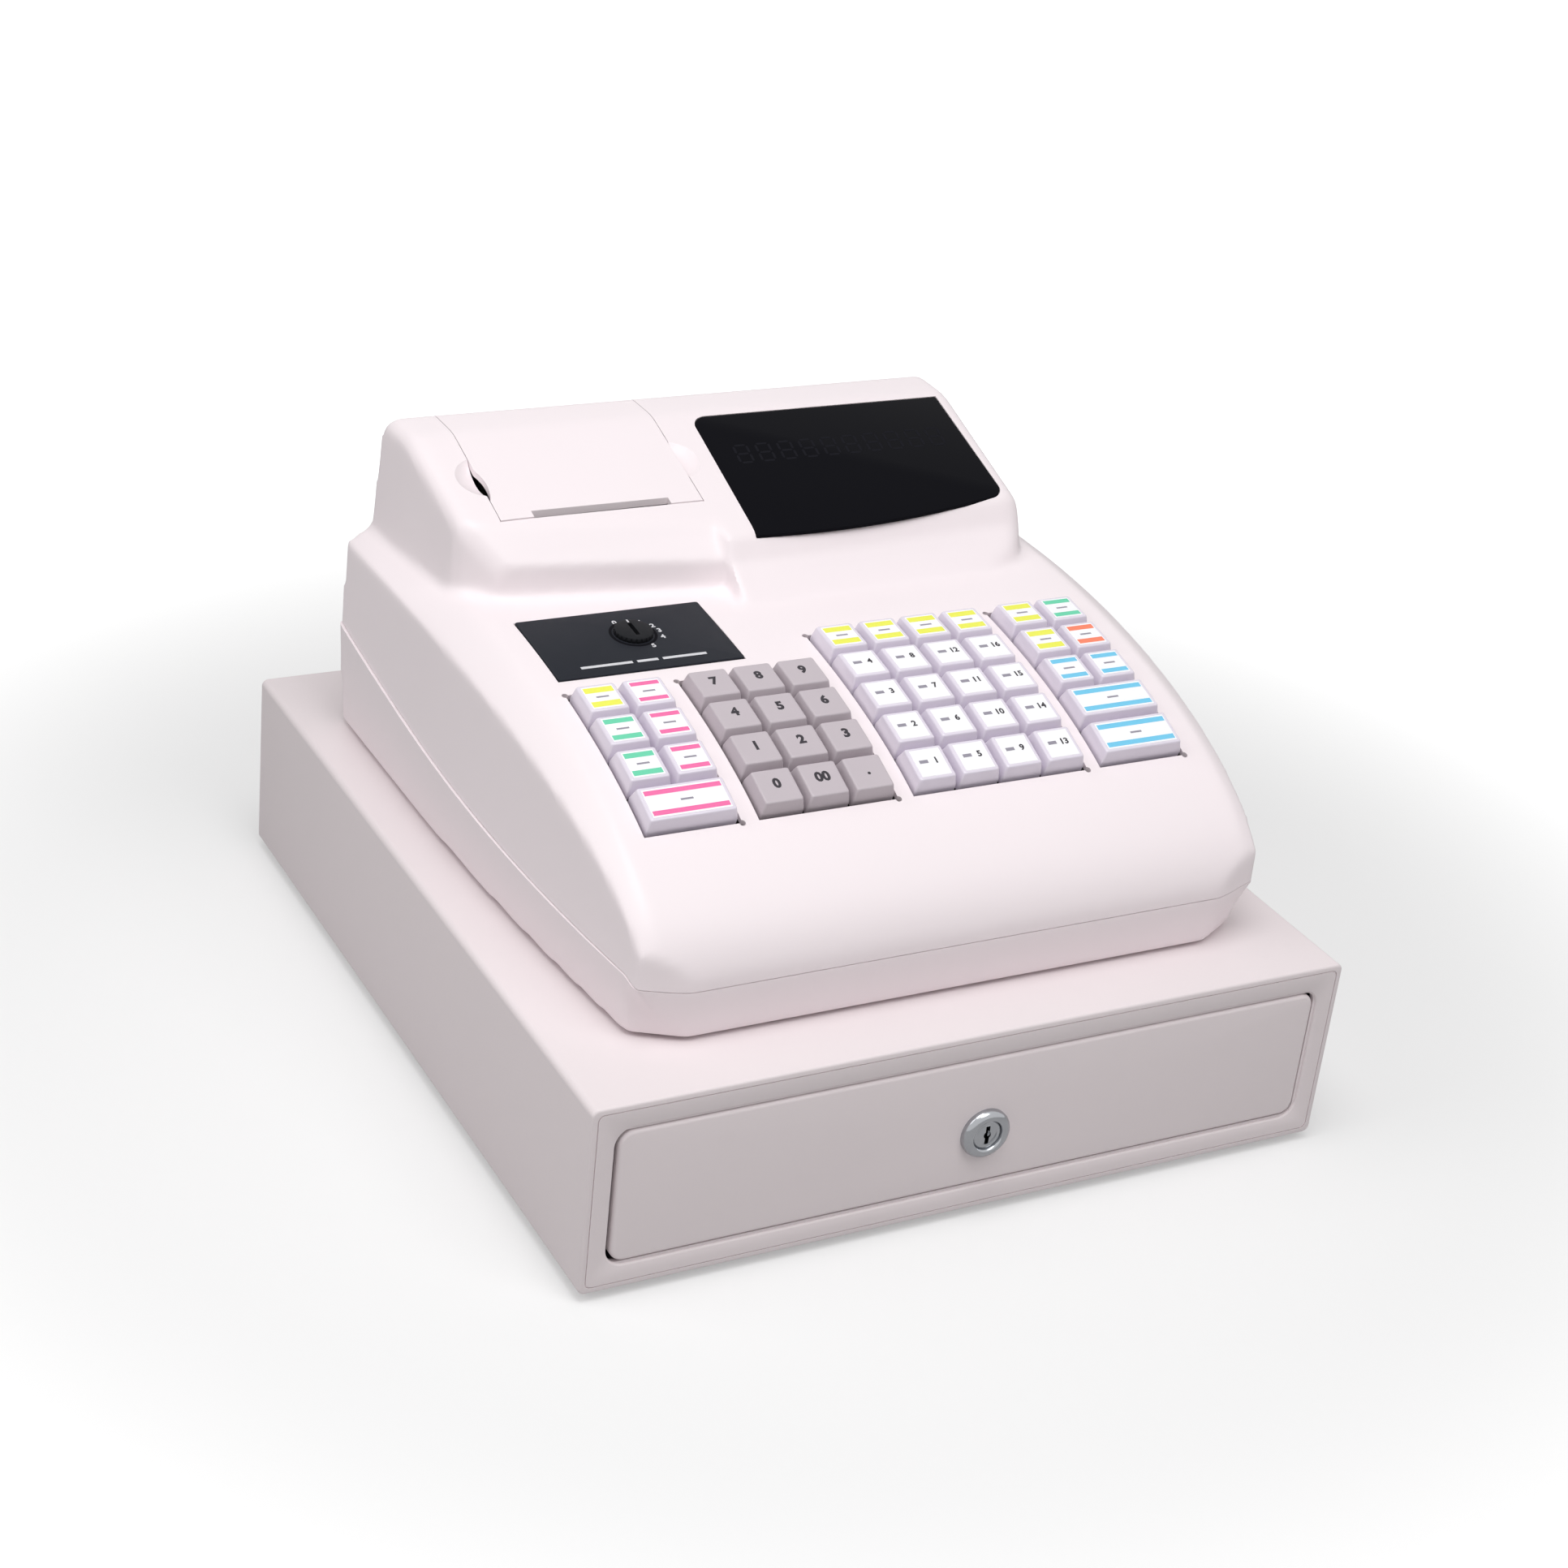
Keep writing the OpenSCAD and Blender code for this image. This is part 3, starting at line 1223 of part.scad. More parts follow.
left_key(0, 3);  // left_key_5
left_key(1, 3);  // left_key_6
right_key(0, 0, 2);  // right_key_wide_1
right_key(0, 1, 2);  // right_key_wide_2
right_key(0, 2);  // right_key_1
right_key(1, 2);  // right_key_2
right_key(0, 3);  // right_key_3
right_key(1, 3);  // right_key_4
right_key(0, 4);  // right_key_5
right_key(1, 4);  // right_key_6
dept_column(0);  // dept_column_1
dept_column(1);  // dept_column_2
dept_column(2);  // dept_column_3
dept_column(3);  // dept_column_4
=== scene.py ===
from math import acos, atan, atan2, cos, pi, radians, sin, sqrt, tan

import bpy
from mathutils import Matrix, Vector


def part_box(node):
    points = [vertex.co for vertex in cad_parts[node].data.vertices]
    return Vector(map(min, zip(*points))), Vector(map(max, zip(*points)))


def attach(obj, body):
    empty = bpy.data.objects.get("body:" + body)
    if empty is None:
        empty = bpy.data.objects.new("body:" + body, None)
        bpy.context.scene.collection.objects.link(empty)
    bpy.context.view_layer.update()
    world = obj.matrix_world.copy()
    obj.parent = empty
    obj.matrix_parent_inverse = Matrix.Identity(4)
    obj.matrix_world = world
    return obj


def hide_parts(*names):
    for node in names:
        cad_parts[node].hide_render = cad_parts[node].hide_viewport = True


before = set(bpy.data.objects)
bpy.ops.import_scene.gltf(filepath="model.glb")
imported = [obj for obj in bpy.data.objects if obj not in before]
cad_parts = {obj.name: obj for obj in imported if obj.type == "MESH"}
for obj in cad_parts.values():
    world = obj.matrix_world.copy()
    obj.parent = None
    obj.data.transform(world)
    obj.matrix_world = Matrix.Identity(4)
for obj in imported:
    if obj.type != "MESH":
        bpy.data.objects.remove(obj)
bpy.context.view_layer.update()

# Pieces are modelled in millimetres, and settle() brings each one to metres in the frame.
MM = 0.001

# ---- sizes of the register, in millimetres ----


def node_box(node):
    """Lowest and highest corner of a CAD node."""
    low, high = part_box(node)
    return low / MM, high / MM


housing_low, housing_high = node_box("drawer_housing")
base_low, base_high = node_box("base_case")
wall = 2.5
sheet = 1.2
top_z = housing_high.z
case_w = 328
case_h = 80
front_y = housing_low.y
back_y = housing_high.y
front_mid_z = (housing_low.z + housing_high.z) / 2
open_w = case_w - 20
open_h = case_h - 20
front_w = open_w - 3.2
front_h = open_h - 3.2
panel_gap = 1.6
panel_r = 6
panel_depth = 12
groove_in = 2.4
strip_in = 0.95
strip_w = 1.1
strip_r = 4.5
lock_x = 3
lock_z = 39
latch_y = back_y - 9
latch_z = 22
till_x = (base_low.x + base_high.x) / 2
till_half = (base_high.x - base_low.x) / 2
till_front = base_low.y
till_back = base_high.y
till_z = top_z + 1.5
seam_z = top_z + 22.8
deck_z = top_z + 95
ridge_z = top_z + 140

# bow of the sides, cut-off front corners, seam and shoulders of the deck
seam_gap = 0.4
seam_step = 4.5
seam_rise = 21
seam_power = 2.2
base_taper = 3.3
base_front_taper = 3.5
corner_w = 20
corner_d = 6
corner_foot_d = 14
corner_y = till_front + corner_d
corner_foot_y = till_front + corner_foot_d
bow_r = 1540
side_lean = 0.066
shoulder_drop = 10.4
shoulder_bulge = 1.2
shoulder_min = 3
shoulder_steps = 8
deck_half = 129
deck_last = radians(86.5)
deck_steps = 56
arc_y = till_back - 83
arc_len = (arc_y - till_front) / sin(deck_last)
arc_rise = deck_z - seam_z
base_front_y = till_front + base_front_taper

# hump over the printer and the display
hump_x = -2
hump_half = 125.5
hump_flare = 0.04
hump_draft = 0.08
hump_edge_r = 7
hump_corner_r = 26
foot_dip = 14
step_x = -19.5
printer_sweep = -0.13
display_sweep = 0.05
hump_back = till_back - 1
ridge_y = till_back - 25
brow_y = ridge_y - 67
brow_z = ridge_z - 21
slope = atan2(ridge_z - brow_z, ridge_y - brow_y)
extra_low = 16
form_voxel = 1.55
base_voxel = 1.8

# printer cover
cover_gap = 0.35
cover_x1 = step_x - cover_gap
cover_x0 = cover_x1 - 90
cover_mid = (cover_x0 + cover_x1) / 2
slot_y = brow_y + 14
slot_w = 61
slot_t = 3
slot_lip = 1.2
cover_y0 = slot_y - slot_t / 2 + 2 * cover_gap
hinge_y = hump_back + 3.2
hinge_z = ridge_z - 8
hinge_r = 2.8
hinge_pin_r = 1.2
knuckle_w = 8
knuckle_x = 30
knuckle_gap = 0.4
cover_back_z = hinge_z - 1.4
notch_r = 22
notch_w = 2.1
grip_y = slot_y + 20
grip_r = 20
grip_depth = 3.4
grip_in = 3

# printer
platen_y = slot_y + 8
platen_z = brow_z + 14 * tan(slope) - 13
platen_r = 6
pin_r = 1.5
ear_x = 31.6
roll_w = 57
roll_r = 22.5
roll_core_r = 8

# keyboard
key_pitch = 19.4
cap_w = 18.4
card_w = 13
card_d = 13.4
cap_h = 5.6
cap_skirt = 3
stem_r = 2.5
stem_len = 12.1
group_gap = 0.7
kb_y0 = till_front + 41.6
LEFT, DIGITS, DEPARTMENTS, RIGHT = (-117.6, 2, 4), (-70.4, 3, 4), (-4.2, 4, 5), (80.6, 2, 5)

# mode panel and windows
mode_w = 80
mode_d = 45
mode_x = -117
mode_t = 1.6
mode_proud = 0.7
dial_at = (mode_w * 0.54, mode_d * 0.59)
window_x = step_x + 16.5
window_w = 121
window_t = 2
window_rest = 4
customer_w = 92
customer_h = 22
customer_x = 12
customer_z = ridge_z - 34


# ---- modelling helpers ----


def select(obj):
    """Makes obj the only selected object, and the active one."""
    bpy.ops.object.select_all(action="DESELECT")
    obj.select_set(True)
    bpy.context.view_layer.objects.active = obj


def newest(name):
    """The primitive that was just added, with its place and size in its mesh."""
    obj = bpy.context.active_object
    bpy.ops.object.transform_apply(location=True, rotation=True, scale=True)
    obj.name = name
    return obj


def edit(obj, *steps):
    """Runs edit-mode steps on all of obj's mesh."""
    select(obj)
    bpy.ops.object.mode_set(mode="EDIT")
    bpy.ops.mesh.select_all(action="SELECT")
    for step in steps:
        step()
    bpy.ops.object.mode_set(mode="OBJECT")


def face_outwards():
    bpy.ops.mesh.select_all(action="SELECT")
    bpy.ops.mesh.normals_make_consistent(inside=False)


def apply_modifier(obj, kind, **settings):
    select(obj)
    modifier = obj.modifiers.new(kind, kind)
    for key, value in settings.items():
        setattr(modifier, key, value)
    bpy.ops.object.modifier_apply(modifier=modifier.name)
    return obj


def combine(obj, tool, operation="DIFFERENCE"):
    """Cuts, adds or intersects obj with tool, which is used up."""
    apply_modifier(obj, "BOOLEAN", operation=operation, object=tool, solver="MANIFOLD")
    bpy.data.objects.remove(tool, do_unlink=True)
    return obj


def cut(obj, *tools):
    for tool in tools:
        combine(obj, tool)
    return obj


def unite(obj, *tools):
    for tool in tools:
        combine(obj, tool, "UNION")
    return obj


def bevelled(obj, width, segments=3, angle=30):
    return apply_modifier(obj, "BEVEL", width=width, segments=segments, limit_method="ANGLE",
                          angle_limit=radians(angle), miter_outer="MITER_ARC", use_clamp_overlap=True)


def in_scene(name, data):
    """A new object of data, linked to the scene."""
    obj = bpy.data.objects.new(name, data)
    bpy.context.scene.collection.objects.link(obj)
    return obj


def copied(obj, name):
    twin = obj.copy()
    twin.data = obj.data.copy()
    twin.name = name
    bpy.context.scene.collection.objects.link(twin)
    return twin


def joined(name, parts):
    """One object of several, each keeping its materials."""
    select(parts[0])
    for part in parts[1:]:
        part.select_set(True)
    bpy.ops.object.join()
    parts[0].name = name
    return parts[0]


def placed(obj, matrix):
    obj.data.transform(matrix)
    return obj


def moved(obj, x, y, z):
    return placed(obj, Matrix.Translation((x, y, z)))


def on_x_axis(obj, x, y, z):
    """Lays a piece that was turned about Z along X, with its origin at the point."""
    return placed(obj, Matrix.Translation((x, y, z)) @ Matrix.Rotation(pi / 2, 4, "Y"))


def tilted(angle, origin):
    """Turns about X by angle, then moves to origin."""
    return Matrix.Translation(origin) @ Matrix.Rotation(angle, 4, "X")


def block(low, high):
    """A box between two corners."""
    low, high = Vector(low), Vector(high)
    bpy.ops.mesh.primitive_cube_add(size=1, location=(low + high) / 2)
    bpy.context.active_object.scale = high - low
    return newest("block")


def rod(radius, start, end, sides=48):
    """A cylinder between two points."""
    start, end = Vector(start), Vector(end)
    bpy.ops.mesh.primitive_cylinder_add(vertices=sides, radius=radius, depth=(end - start).length,
                                        location=(start + end) / 2,
                                        rotation=(end - start).to_track_quat("Z", "Y").to_euler())
    return newest("rod")


def rod_x(radius, x0, x1, y, z, sides=48):
    return rod(radius, (x0, y, z), (x1, y, z), sides)


def ball(radius, at):
    bpy.ops.mesh.primitive_uv_sphere_add(segments=64, ring_count=32, radius=radius, location=at)
    return newest("ball")


def prism(outline, depth):
    """An outline in the XY plane, raised by depth."""
    bpy.ops.mesh.primitive_circle_add(vertices=len(outline), fill_type="NGON")
    obj = newest("prism")
    for vertex, point in zip(obj.data.vertices, outline):
        vertex.co = (point[0], point[1], 0)
    edit(obj,
         lambda: bpy.ops.mesh.extrude_region_move(TRANSFORM_OT_translate={"value": (0, 0, depth)}),
         face_outwards)
    return obj


def round_outline(w, h, r, steps=8):
    """Corner points of a rectangle with round corners, centred on the origin."""
    corners = [(w / 2 - r, h / 2 - r, 0), (r - w / 2, h / 2 - r, 90),
               (r - w / 2, r - h / 2, 180), (w / 2 - r, r - h / 2, 270)]
    return [(x + r * cos(radians(start + 90 * k / steps)), y + r * sin(radians(start + 90 * k / steps)))
            for x, y, start in corners for k in range(steps + 1)]


def round_bar(w, h, r, y0, y1, x=0):
    """A bar of round rectangular section along Y at the drawer's height, from y0 back to y1."""
    return placed(prism(round_outline(w, h, r), y1 - y0), tilted(pi / 2, (x, y1, front_mid_z)))


def turned(profile, sides=64):
    """A solid of revolution about Z, from (radius, height) points that start and end on the axis."""
    bpy.ops.mesh.primitive_circle_add(vertices=len(profile), fill_type="NOTHING")
    obj = newest("turned")
    for vertex, (radius, height) in zip(obj.data.vertices, profile):
        vertex.co = (radius, 0, height)
    edit(obj,
         lambda: bpy.ops.mesh.spin(steps=sides, angle=2 * pi, center=(0, 0, 0), axis=(0, 0, 1)),
         lambda: bpy.ops.mesh.select_all(action="SELECT"),
         lambda: bpy.ops.mesh.remove_doubles(threshold=0.001),
         lambda: bpy.ops.mesh.dissolve_degenerate(threshold=0.0005),
         face_outwards)
    return obj


def loft(rows):
    """A closed solid through a row of rings, each a list of as many points."""
    around, along = len(rows[0]), len(rows) - 1
    bpy.ops.mesh.primitive_grid_add(x_subdivisions=around, y_subdivisions=along, size=2)
    obj = newest("loft")
    for vertex in obj.data.vertices:
        column = round((vertex.co.x + 1) / 2 * around)
        vertex.co = rows[round((vertex.co.y + 1) / 2 * along)][column % around]
    edit(obj,
         lambda: bpy.ops.mesh.remove_doubles(threshold=0.0001),
         lambda: bpy.ops.mesh.select_all(action="DESELECT"),
         lambda: bpy.ops.mesh.select_non_manifold(extend=False),
         lambda: bpy.ops.mesh.fill_holes(sides=0),
         face_outwards)
    return obj


def softened(node, width, segments, holed):
    """A copy of a CAD piece in millimetres, with its edges rounded. Faces with holes in them are split first."""
    obj = in_scene(node + "_copy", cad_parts[node].data.copy())
    obj.data.transform(Matrix.Scale(1 / MM, 4))
    edit(obj,
         lambda: bpy.ops.mesh.remove_doubles(threshold=0.002),
         lambda: bpy.ops.mesh.dissolve_limited(angle_limit=radians(0.5)))
    if holed:
        edit(obj, lambda: bpy.ops.mesh.quads_convert_to_tris(quad_method="BEAUTY", ngon_method="CLIP"))
    return bevelled(obj, width, segments, 35)


def painted(obj, choose):
    """Gives each face the finish whose number choose(middle) returns."""
    for face in obj.data.polygons:
        face.material_index = int(choose(face.center))
    return obj


def lettering(text, size, boldness):
    """A raised numeral or mark in the XY plane, centred on the origin."""
    curve = bpy.data.curves.new("numeral", "FONT")
    curve.body = text
    curve.size = size
    curve.offset = boldness
    curve.extrude = 0.02
    curve.align_x = "CENTER"
    curve.align_y = "CENTER"
    curve.resolution_u = 3
    select(in_scene("numeral", curve))
    bpy.ops.object.convert(target="MESH")
    obj = newest("numeral")
    edit(obj, lambda: bpy.ops.mesh.remove_doubles(threshold=0.0005))
    return obj


def sliced(obj, x, keep):
    """The part of obj beyond the plane at x, on the side that keep (-1 or 1) says, with its cut closed."""
    edit(obj, lambda: bpy.ops.mesh.bisect(plane_co=(x, 0, 0), plane_no=(keep, 0, 0),
                                          use_fill=True, clear_inner=True))
    return obj


def settle(obj, name, body, slot, node, smooth=35):
    """Brings a finished piece to metres, gives it its name and body, and hides what it stands for."""
    obj.data.transform(Matrix.Scale(MM, 4))
    obj.name = obj.data.name = name
    select(obj)
    bpy.ops.object.shade_smooth_by_angle(angle=radians(smooth))
    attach(obj, body)
    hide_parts(node)
    return obj


def finished(obj, *materials):
    """Gives obj its finishes, the first one all over."""
    obj.data.materials.clear()
    for material in materials:
        obj.data.materials.append(material)
    return obj


def dressed(node, width, name, body, slot, *materials, choose=None, segments=2, holed=False):
    """Finishes a CAD piece as it is, with softened edges and its faces painted by choose."""
    piece = finished(softened(node, width, segments, holed), *materials)
    if choose:
        painted(piece, choose)
    return settle(piece, name, body, slot, node)


# ---- finishes ----


def linear(colour):
    """Linear values of a colour as seen on a screen, 0 to 255."""
    return [(c / 255 / 12.92) if c / 255 <= 0.04045 else ((c / 255 + 0.055) / 1.055) ** 2.4 for c in colour]


def set_inputs(node, values):
    """Gives each named input its value, or a link where the value is another node's output."""
    for name, value in values.items():
        if isinstance(value, bpy.types.NodeSocket):
            node.id_data.links.new(value, node.inputs[name])
        else:
            node.inputs[name].default_value = value
    return node


def add_node(tree, kind, values, **settings):
    node = tree.nodes.new("ShaderNode" + kind)
    for key, value in settings.items():
        setattr(node, key, value)
    return set_inputs(node, values)


def surface(name, colour, roughness, mottle, grain=None, metallic=0.0, specular=0.5, coat=0.0, spread=0.08,
            stretch=(1, 1, 1)):
    """A finish with a soft variation of its colour and roughness and a fine relief, each (strength, scale)."""
    material = bpy.data.materials.new(name)
    material.use_nodes = True
    tree = material.node_tree
    place = add_node(tree, "TexCoord", {})
    mapping = add_node(tree, "Mapping", {"Vector": place.outputs["Object"], "Scale": stretch})
    where = mapping.outputs["Vector"]
    cloud = add_node(tree, "TexNoise", {"Vector": where, "Scale": mottle[1], "Detail": 4}).outputs["Fac"]
    darker = tuple(c * (1 - mottle[0]) for c in linear(colour)) + (1,)
    lighter = tuple(min(1, c * (1 + mottle[0])) for c in linear(colour)) + (1,)
    tint = add_node(tree, "Mix", {"A": darker, "B": lighter, "Factor": cloud}, data_type="RGBA")
    gloss = add_node(tree, "MapRange", {"Value": cloud, "To Min": max(0.02, roughness - spread),
                                        "To Max": min(1.0, roughness + spread)})
    shader = set_inputs(tree.nodes["Principled BSDF"], {
        "Metallic": metallic, "Specular IOR Level": specular, "Coat Weight": coat, "Coat Roughness": 0.12,
        "Base Color": tint.outputs["Result"], "Roughness": gloss.outputs["Result"]})
    if grain:
        relief = add_node(tree, "TexNoise", {"Vector": where, "Scale": grain[1], "Detail": 2})
        bump = add_node(tree, "Bump", {"Height": relief.outputs["Fac"], "Strength": grain[0], "Distance": 0.0002})
        set_inputs(shader, {"Normal": bump.outputs["Normal"]})
    return material


def legend_ink(name, colour):
    return surface(name, colour, 0.6, (0.05, 900), specular=0.3)


ivory_plastic = surface("moulded ivory plastic", (247, 237, 240), 0.42, (0.012, 9), (0.10, 2600), specular=0.4)
ivory_paint = surface("ivory powder enamel", (235, 225, 227), 0.48, (0.015, 12), (0.22, 1100), specular=0.35)
zinc = surface("zinc plated sheet", (178, 180, 184), 0.36, (0.10, 90), (0.06, 500), metallic=1.0, stretch=(1, 6, 1))
chrome = surface("chromed lock metal", (176, 178, 182), 0.16, (0.03, 300), metallic=1.0, spread=0.04)
black_plastic = surface("black tray plastic", (38, 38, 42), 0.5, (0.10, 60), (0.35, 1800))
dial_plastic = surface("dull dial plastic", (30, 31, 34), 0.55, (0.08, 120), (0.25, 2200), specular=0.08)
film = surface("black panel film", (42, 44, 50), 0.45, (0.05, 80), (0.12, 3200), specular=0.05)
acrylic = surface("smoked window acrylic", (20, 20, 24), 0.14, (0.05, 30), spread=0.03, specular=0.01)
rubber = surface("black foot rubber", (30, 30, 31), 0.8, (0.12, 120), (0.4, 2200), specular=0.25)
platen_rubber = surface("roller rubber", (46, 45, 46), 0.7, (0.06, 160), (0.25, 2600), specular=0.3)
nylon = surface("wheel nylon", (226, 224, 214), 0.45, (0.03, 90), (0.08, 1500))
paper = surface("wound receipt paper", (246, 246, 240), 0.85, (0.03, 120), (0.35, 2400), stretch=(1, 9, 9),
                specular=0.2)
card_core = surface("cardboard core", (176, 148, 112), 0.9, (0.10, 300), (0.3, 1500), specular=0.2)
grey_plastic = surface("grey engineering plastic", (58, 58, 62), 0.55, (0.08, 70), (0.25, 1500))
laminate = surface("circuit board laminate", (24, 92, 58), 0.38, (0.35, 240), (0.25, 900), coat=0.3)
chip = surface("component plastic", (28, 28, 30), 0.5, (0.08, 300), (0.2, 1500))
iron = surface("transformer iron", (120, 118, 116), 0.5, (0.12, 200), (0.5, 900), metallic=0.8, stretch=(1, 1, 14))
copper = surface("copper winding", (184, 108, 60), 0.35, (0.15, 500), (0.6, 1500), metallic=0.9, stretch=(0.2, 1, 1))
digit_plastic = surface("mauve grey key plastic", (194, 184, 190), 0.46, (0.02, 60), (0.16, 2800))
cap_plastic = surface("clear lavender key plastic", (228, 220, 233), 0.24, (0.02, 60), coat=0.4, spread=0.04)
card_white = surface("white legend card", (252, 252, 254), 0.6, (0.01, 300), specular=0.3)
ink_black = legend_ink("black legend ink", (52, 48, 54))
ink_grey = legend_ink("grey legend ink", (150, 146, 158))
ink_white = legend_ink("white panel ink", (214, 214, 218))
ghost_grey = surface("unlit digit grey", (30, 30, 35), 0.6, (0.03, 900), specular=0.01)
# a flat ring darker than the panel: painted shade standing in for a groove round the dial
painted_groove_shade = surface("painted groove shade black", (22, 22, 26), 0.6, (0.03, 900), specular=0.02)
STRIPES = {
    "yellow": legend_ink("yellow stripe ink", (240, 242, 96)),
    "pink": legend_ink("pink stripe ink", (244, 116, 172)),
    "green": legend_ink("green stripe ink", (112, 214, 176)),
    "orange": legend_ink("orange stripe ink", (250, 138, 108)),
    "blue": legend_ink("blue stripe ink", (120, 204, 238)),
}


# ---- form of the till case ----


def deck_top(y, inset=0.0):
    """Height of the deck's outside, or of its inside with inset as the wall."""
    if y >= arc_y:
        return deck_z - inset
    share = (arc_y - y) / (arc_len - inset)
    return seam_z + (arc_rise - inset) * sqrt(max(0.0, 1 - share * share))


def deck_slope(y):
    share = min(0.98, max(0.0, (arc_y - y) / arc_len))
    return arc_rise / arc_len * share / sqrt(1 - share * share)


def bow(y):
    return 0.0 if y >= arc_y else bow_r - sqrt(bow_r ** 2 - (arc_y - y) ** 2)


def side_x(y):
    """Half the width of the case at the seam."""
    if y >= corner_y:
        return till_half - bow(y)
    return till_half - bow(corner_y) - (corner_y - y) * corner_w / corner_d


def seam_at(y):
    step = min(1.0, max(0.0, (y - till_front) / corner_foot_d))
    return seam_z + seam_step * step + seam_rise * max(0.0, (y - till_front) / (till_back - till_front)) ** seam_power


def deck_stations():
    arc = [arc_y - arc_len * sin(deck_last * k / deck_steps) for k in range(deck_steps, -1, -1)]
    return sorted(arc + [corner_y, corner_foot_y, (arc_y + till_back) / 2, till_back])


def deck_row(y, inset, low):
    """One cross section of the deck: up the side, over the shoulder, across and down again."""
    top = deck_top(y, inset)
    part = (top - seam_z) / arc_rise
    drop = shoulder_drop * part
    half = side_x(y) - inset
    edge = half - side_lean * max(0.0, top - drop - seam_at(y))
    flat = min(deck_half - inset / 2, edge - shoulder_min * part - 0.5)
    steps = [k / shoulder_steps for k in range(shoulder_steps + 1)]
    right = [(edge + (flat - edge) * t, top - drop * (1 - t) ** shoulder_bulge) for t in steps]
    return ([(till_x - half, y, low)] + [(till_x - x, y, z) for x, z in right]
            + [(till_x + x, y, z) for x, z in reversed(right)] + [(till_x + half, y, low)])


def deck_form(inset, low):
    def shifted(y):
        return y - inset if y == till_back else arc_y - (arc_y - y) * (arc_len - inset) / arc_len
    return loft([deck_row(shifted(y), inset, low) for y in deck_stations()])


def foot_x(y):
    """Half the width of the case at its underside."""
    corner_foot_x = till_half - bow(corner_foot_y) - base_taper
    if y >= corner_foot_y:
        return side_x(y) - base_taper
    if y >= base_front_y:
        return corner_foot_x - (corner_foot_y - y) * corner_w / (corner_foot_d - base_front_taper)
    return corner_foot_x - corner_w + (base_front_y - y) * base_taper / base_front_taper


def base_row(y, inset, rise):
    """One cross section of the lower case, which goes straight up from the seam by rise."""
    top = seam_at(y)
    half, half_low = side_x(y) - inset, foot_x(y) - inset
    climb = (seam_z - till_z - inset - 1) / base_front_taper
    low = till_z + inset + max(0.0, base_front_y - y) * climb
    back = min(till_back - inset, y + (inset if y < arc_y else 0))
    ring = [(-half_low, low), (-half, top), (-half, top + rise), (half, top + rise), (half, top), (half_low, low)]
    return [(till_x + x, back, z) for x, z in ring]


def rounded(a, b, c, radius, steps):
    """The corner at b between a and c, rounded."""
    a, b, c = Vector(a), Vector(b), Vector(c)
    u, v = (a - b).normalized(), (c - b).normalized()
    half = acos(max(-1.0, min(1.0, u.dot(v)))) / 2
    middle = b + (u + v).normalized() * radius / sin(half)
    start, end = b + u * radius / tan(half) - middle, b + v * radius / tan(half) - middle
    first = atan2(start.y, start.x)
    turn = (atan2(end.y, end.x) - first + pi) % (2 * pi) - pi
    return [middle + radius * Vector((cos(first + turn * k / steps), sin(first + turn * k / steps)))
            for k in range(steps + 1)]


def hump_crest(toe, brow, brow_r):
    """Side view of the hump from its brow over the ridge to its back."""
    ridge, rear = (ridge_y, ridge_z), (hump_back, ridge_z)
    return (rounded(toe, brow, ridge, brow_r, 10) + rounded(brow, ridge, rear, 30, 8)
            + rounded(ridge, rear, (hump_back, deck_z), 5, 5))


def printer_profile():
    foot = (brow_y - 15, deck_z - foot_dip / 2)
    toe, brow = (brow_y - 12.5, deck_z + 12), (brow_y, brow_z)
    return [Vector(foot)] + rounded(foot, toe, brow, 3, 3) + hump_crest(toe, brow, 13)


def display_profile():
    foot_y = brow_y - 32
    toe, brow = (brow_y - 15.5, deck_z + 11), (brow_y - 9.5, brow_z - 3)
    return [Vector((foot_y, deck_top(foot_y) - 0.5)), Vector((foot_y + 6.3, deck_z + 3.4)),
            Vector((foot_y + 10.7, deck_z + 6.6)), Vector(toe)] + hump_crest(toe, brow, 8)


def hump_width(y, z, foot_y):
    reach = min(hump_corner_r, max(0.0, foot_y + hump_corner_r - y))
    return (hump_half + (y - brow_y) * hump_flare + (ridge_z - z) * hump_draft
            - (hump_corner_r - sqrt(hump_corner_r ** 2 - reach ** 2)))


def swept(x, y, z, station, sweep):
    """Moves a point of the hump's front back with its distance from the step."""
    share = max(0.0, min(1.0, (ridge_y - station) / (ridge_y - brow_y)))
    back = share * sweep * (x + hump_x - step_x)
    up = max(0.0, min(1.0, (z - deck_z) / (brow_z - deck_z)))
    return x + hump_x, y + back, z + back * tan(slope) * up


def hump_ring(point, inset, sweep, first_y, last_y):
    """One cross section of the hump, round at both of its top edges."""
    middle = (first_y + last_y) / 2
    y = middle + (point.x - middle) * (1 - 2 * inset / (last_y - first_y))
    top, low = point.y - inset, deck_z - foot_dip - inset
    r = max(0.3, min(hump_edge_r - inset / 2, (top - low) / 2))
    half_low = hump_width(point.x, low, first_y) - inset
    half_top = hump_width(point.x, top - r, first_y) - inset
    arc = [(half_top - r + r * cos(a), top - r + r * sin(a)) for a in (pi / 2 * k / 8 for k in range(9))]
    right = [(half_low, low)] + arc
    ring = [(-x, z) for x, z in right] + [(x, z) for x, z in reversed(right)]
    return [swept(x, y, z, point.x, sweep) for x, z in ring]


def hump_half_form(profile, inset, sweep, x, keep):
    first, last = profile[0].x, hump_back
    return sliced(loft([hump_ring(p, inset, sweep, first, last) for p in profile]), x, keep)


def hump_forms(inset):
    """The printer's and the display's half of the hump."""
    return (hump_half_form(printer_profile(), inset, printer_sweep, step_x, -1),
            hump_half_form(display_profile(), inset, display_sweep, step_x + inset, 1))


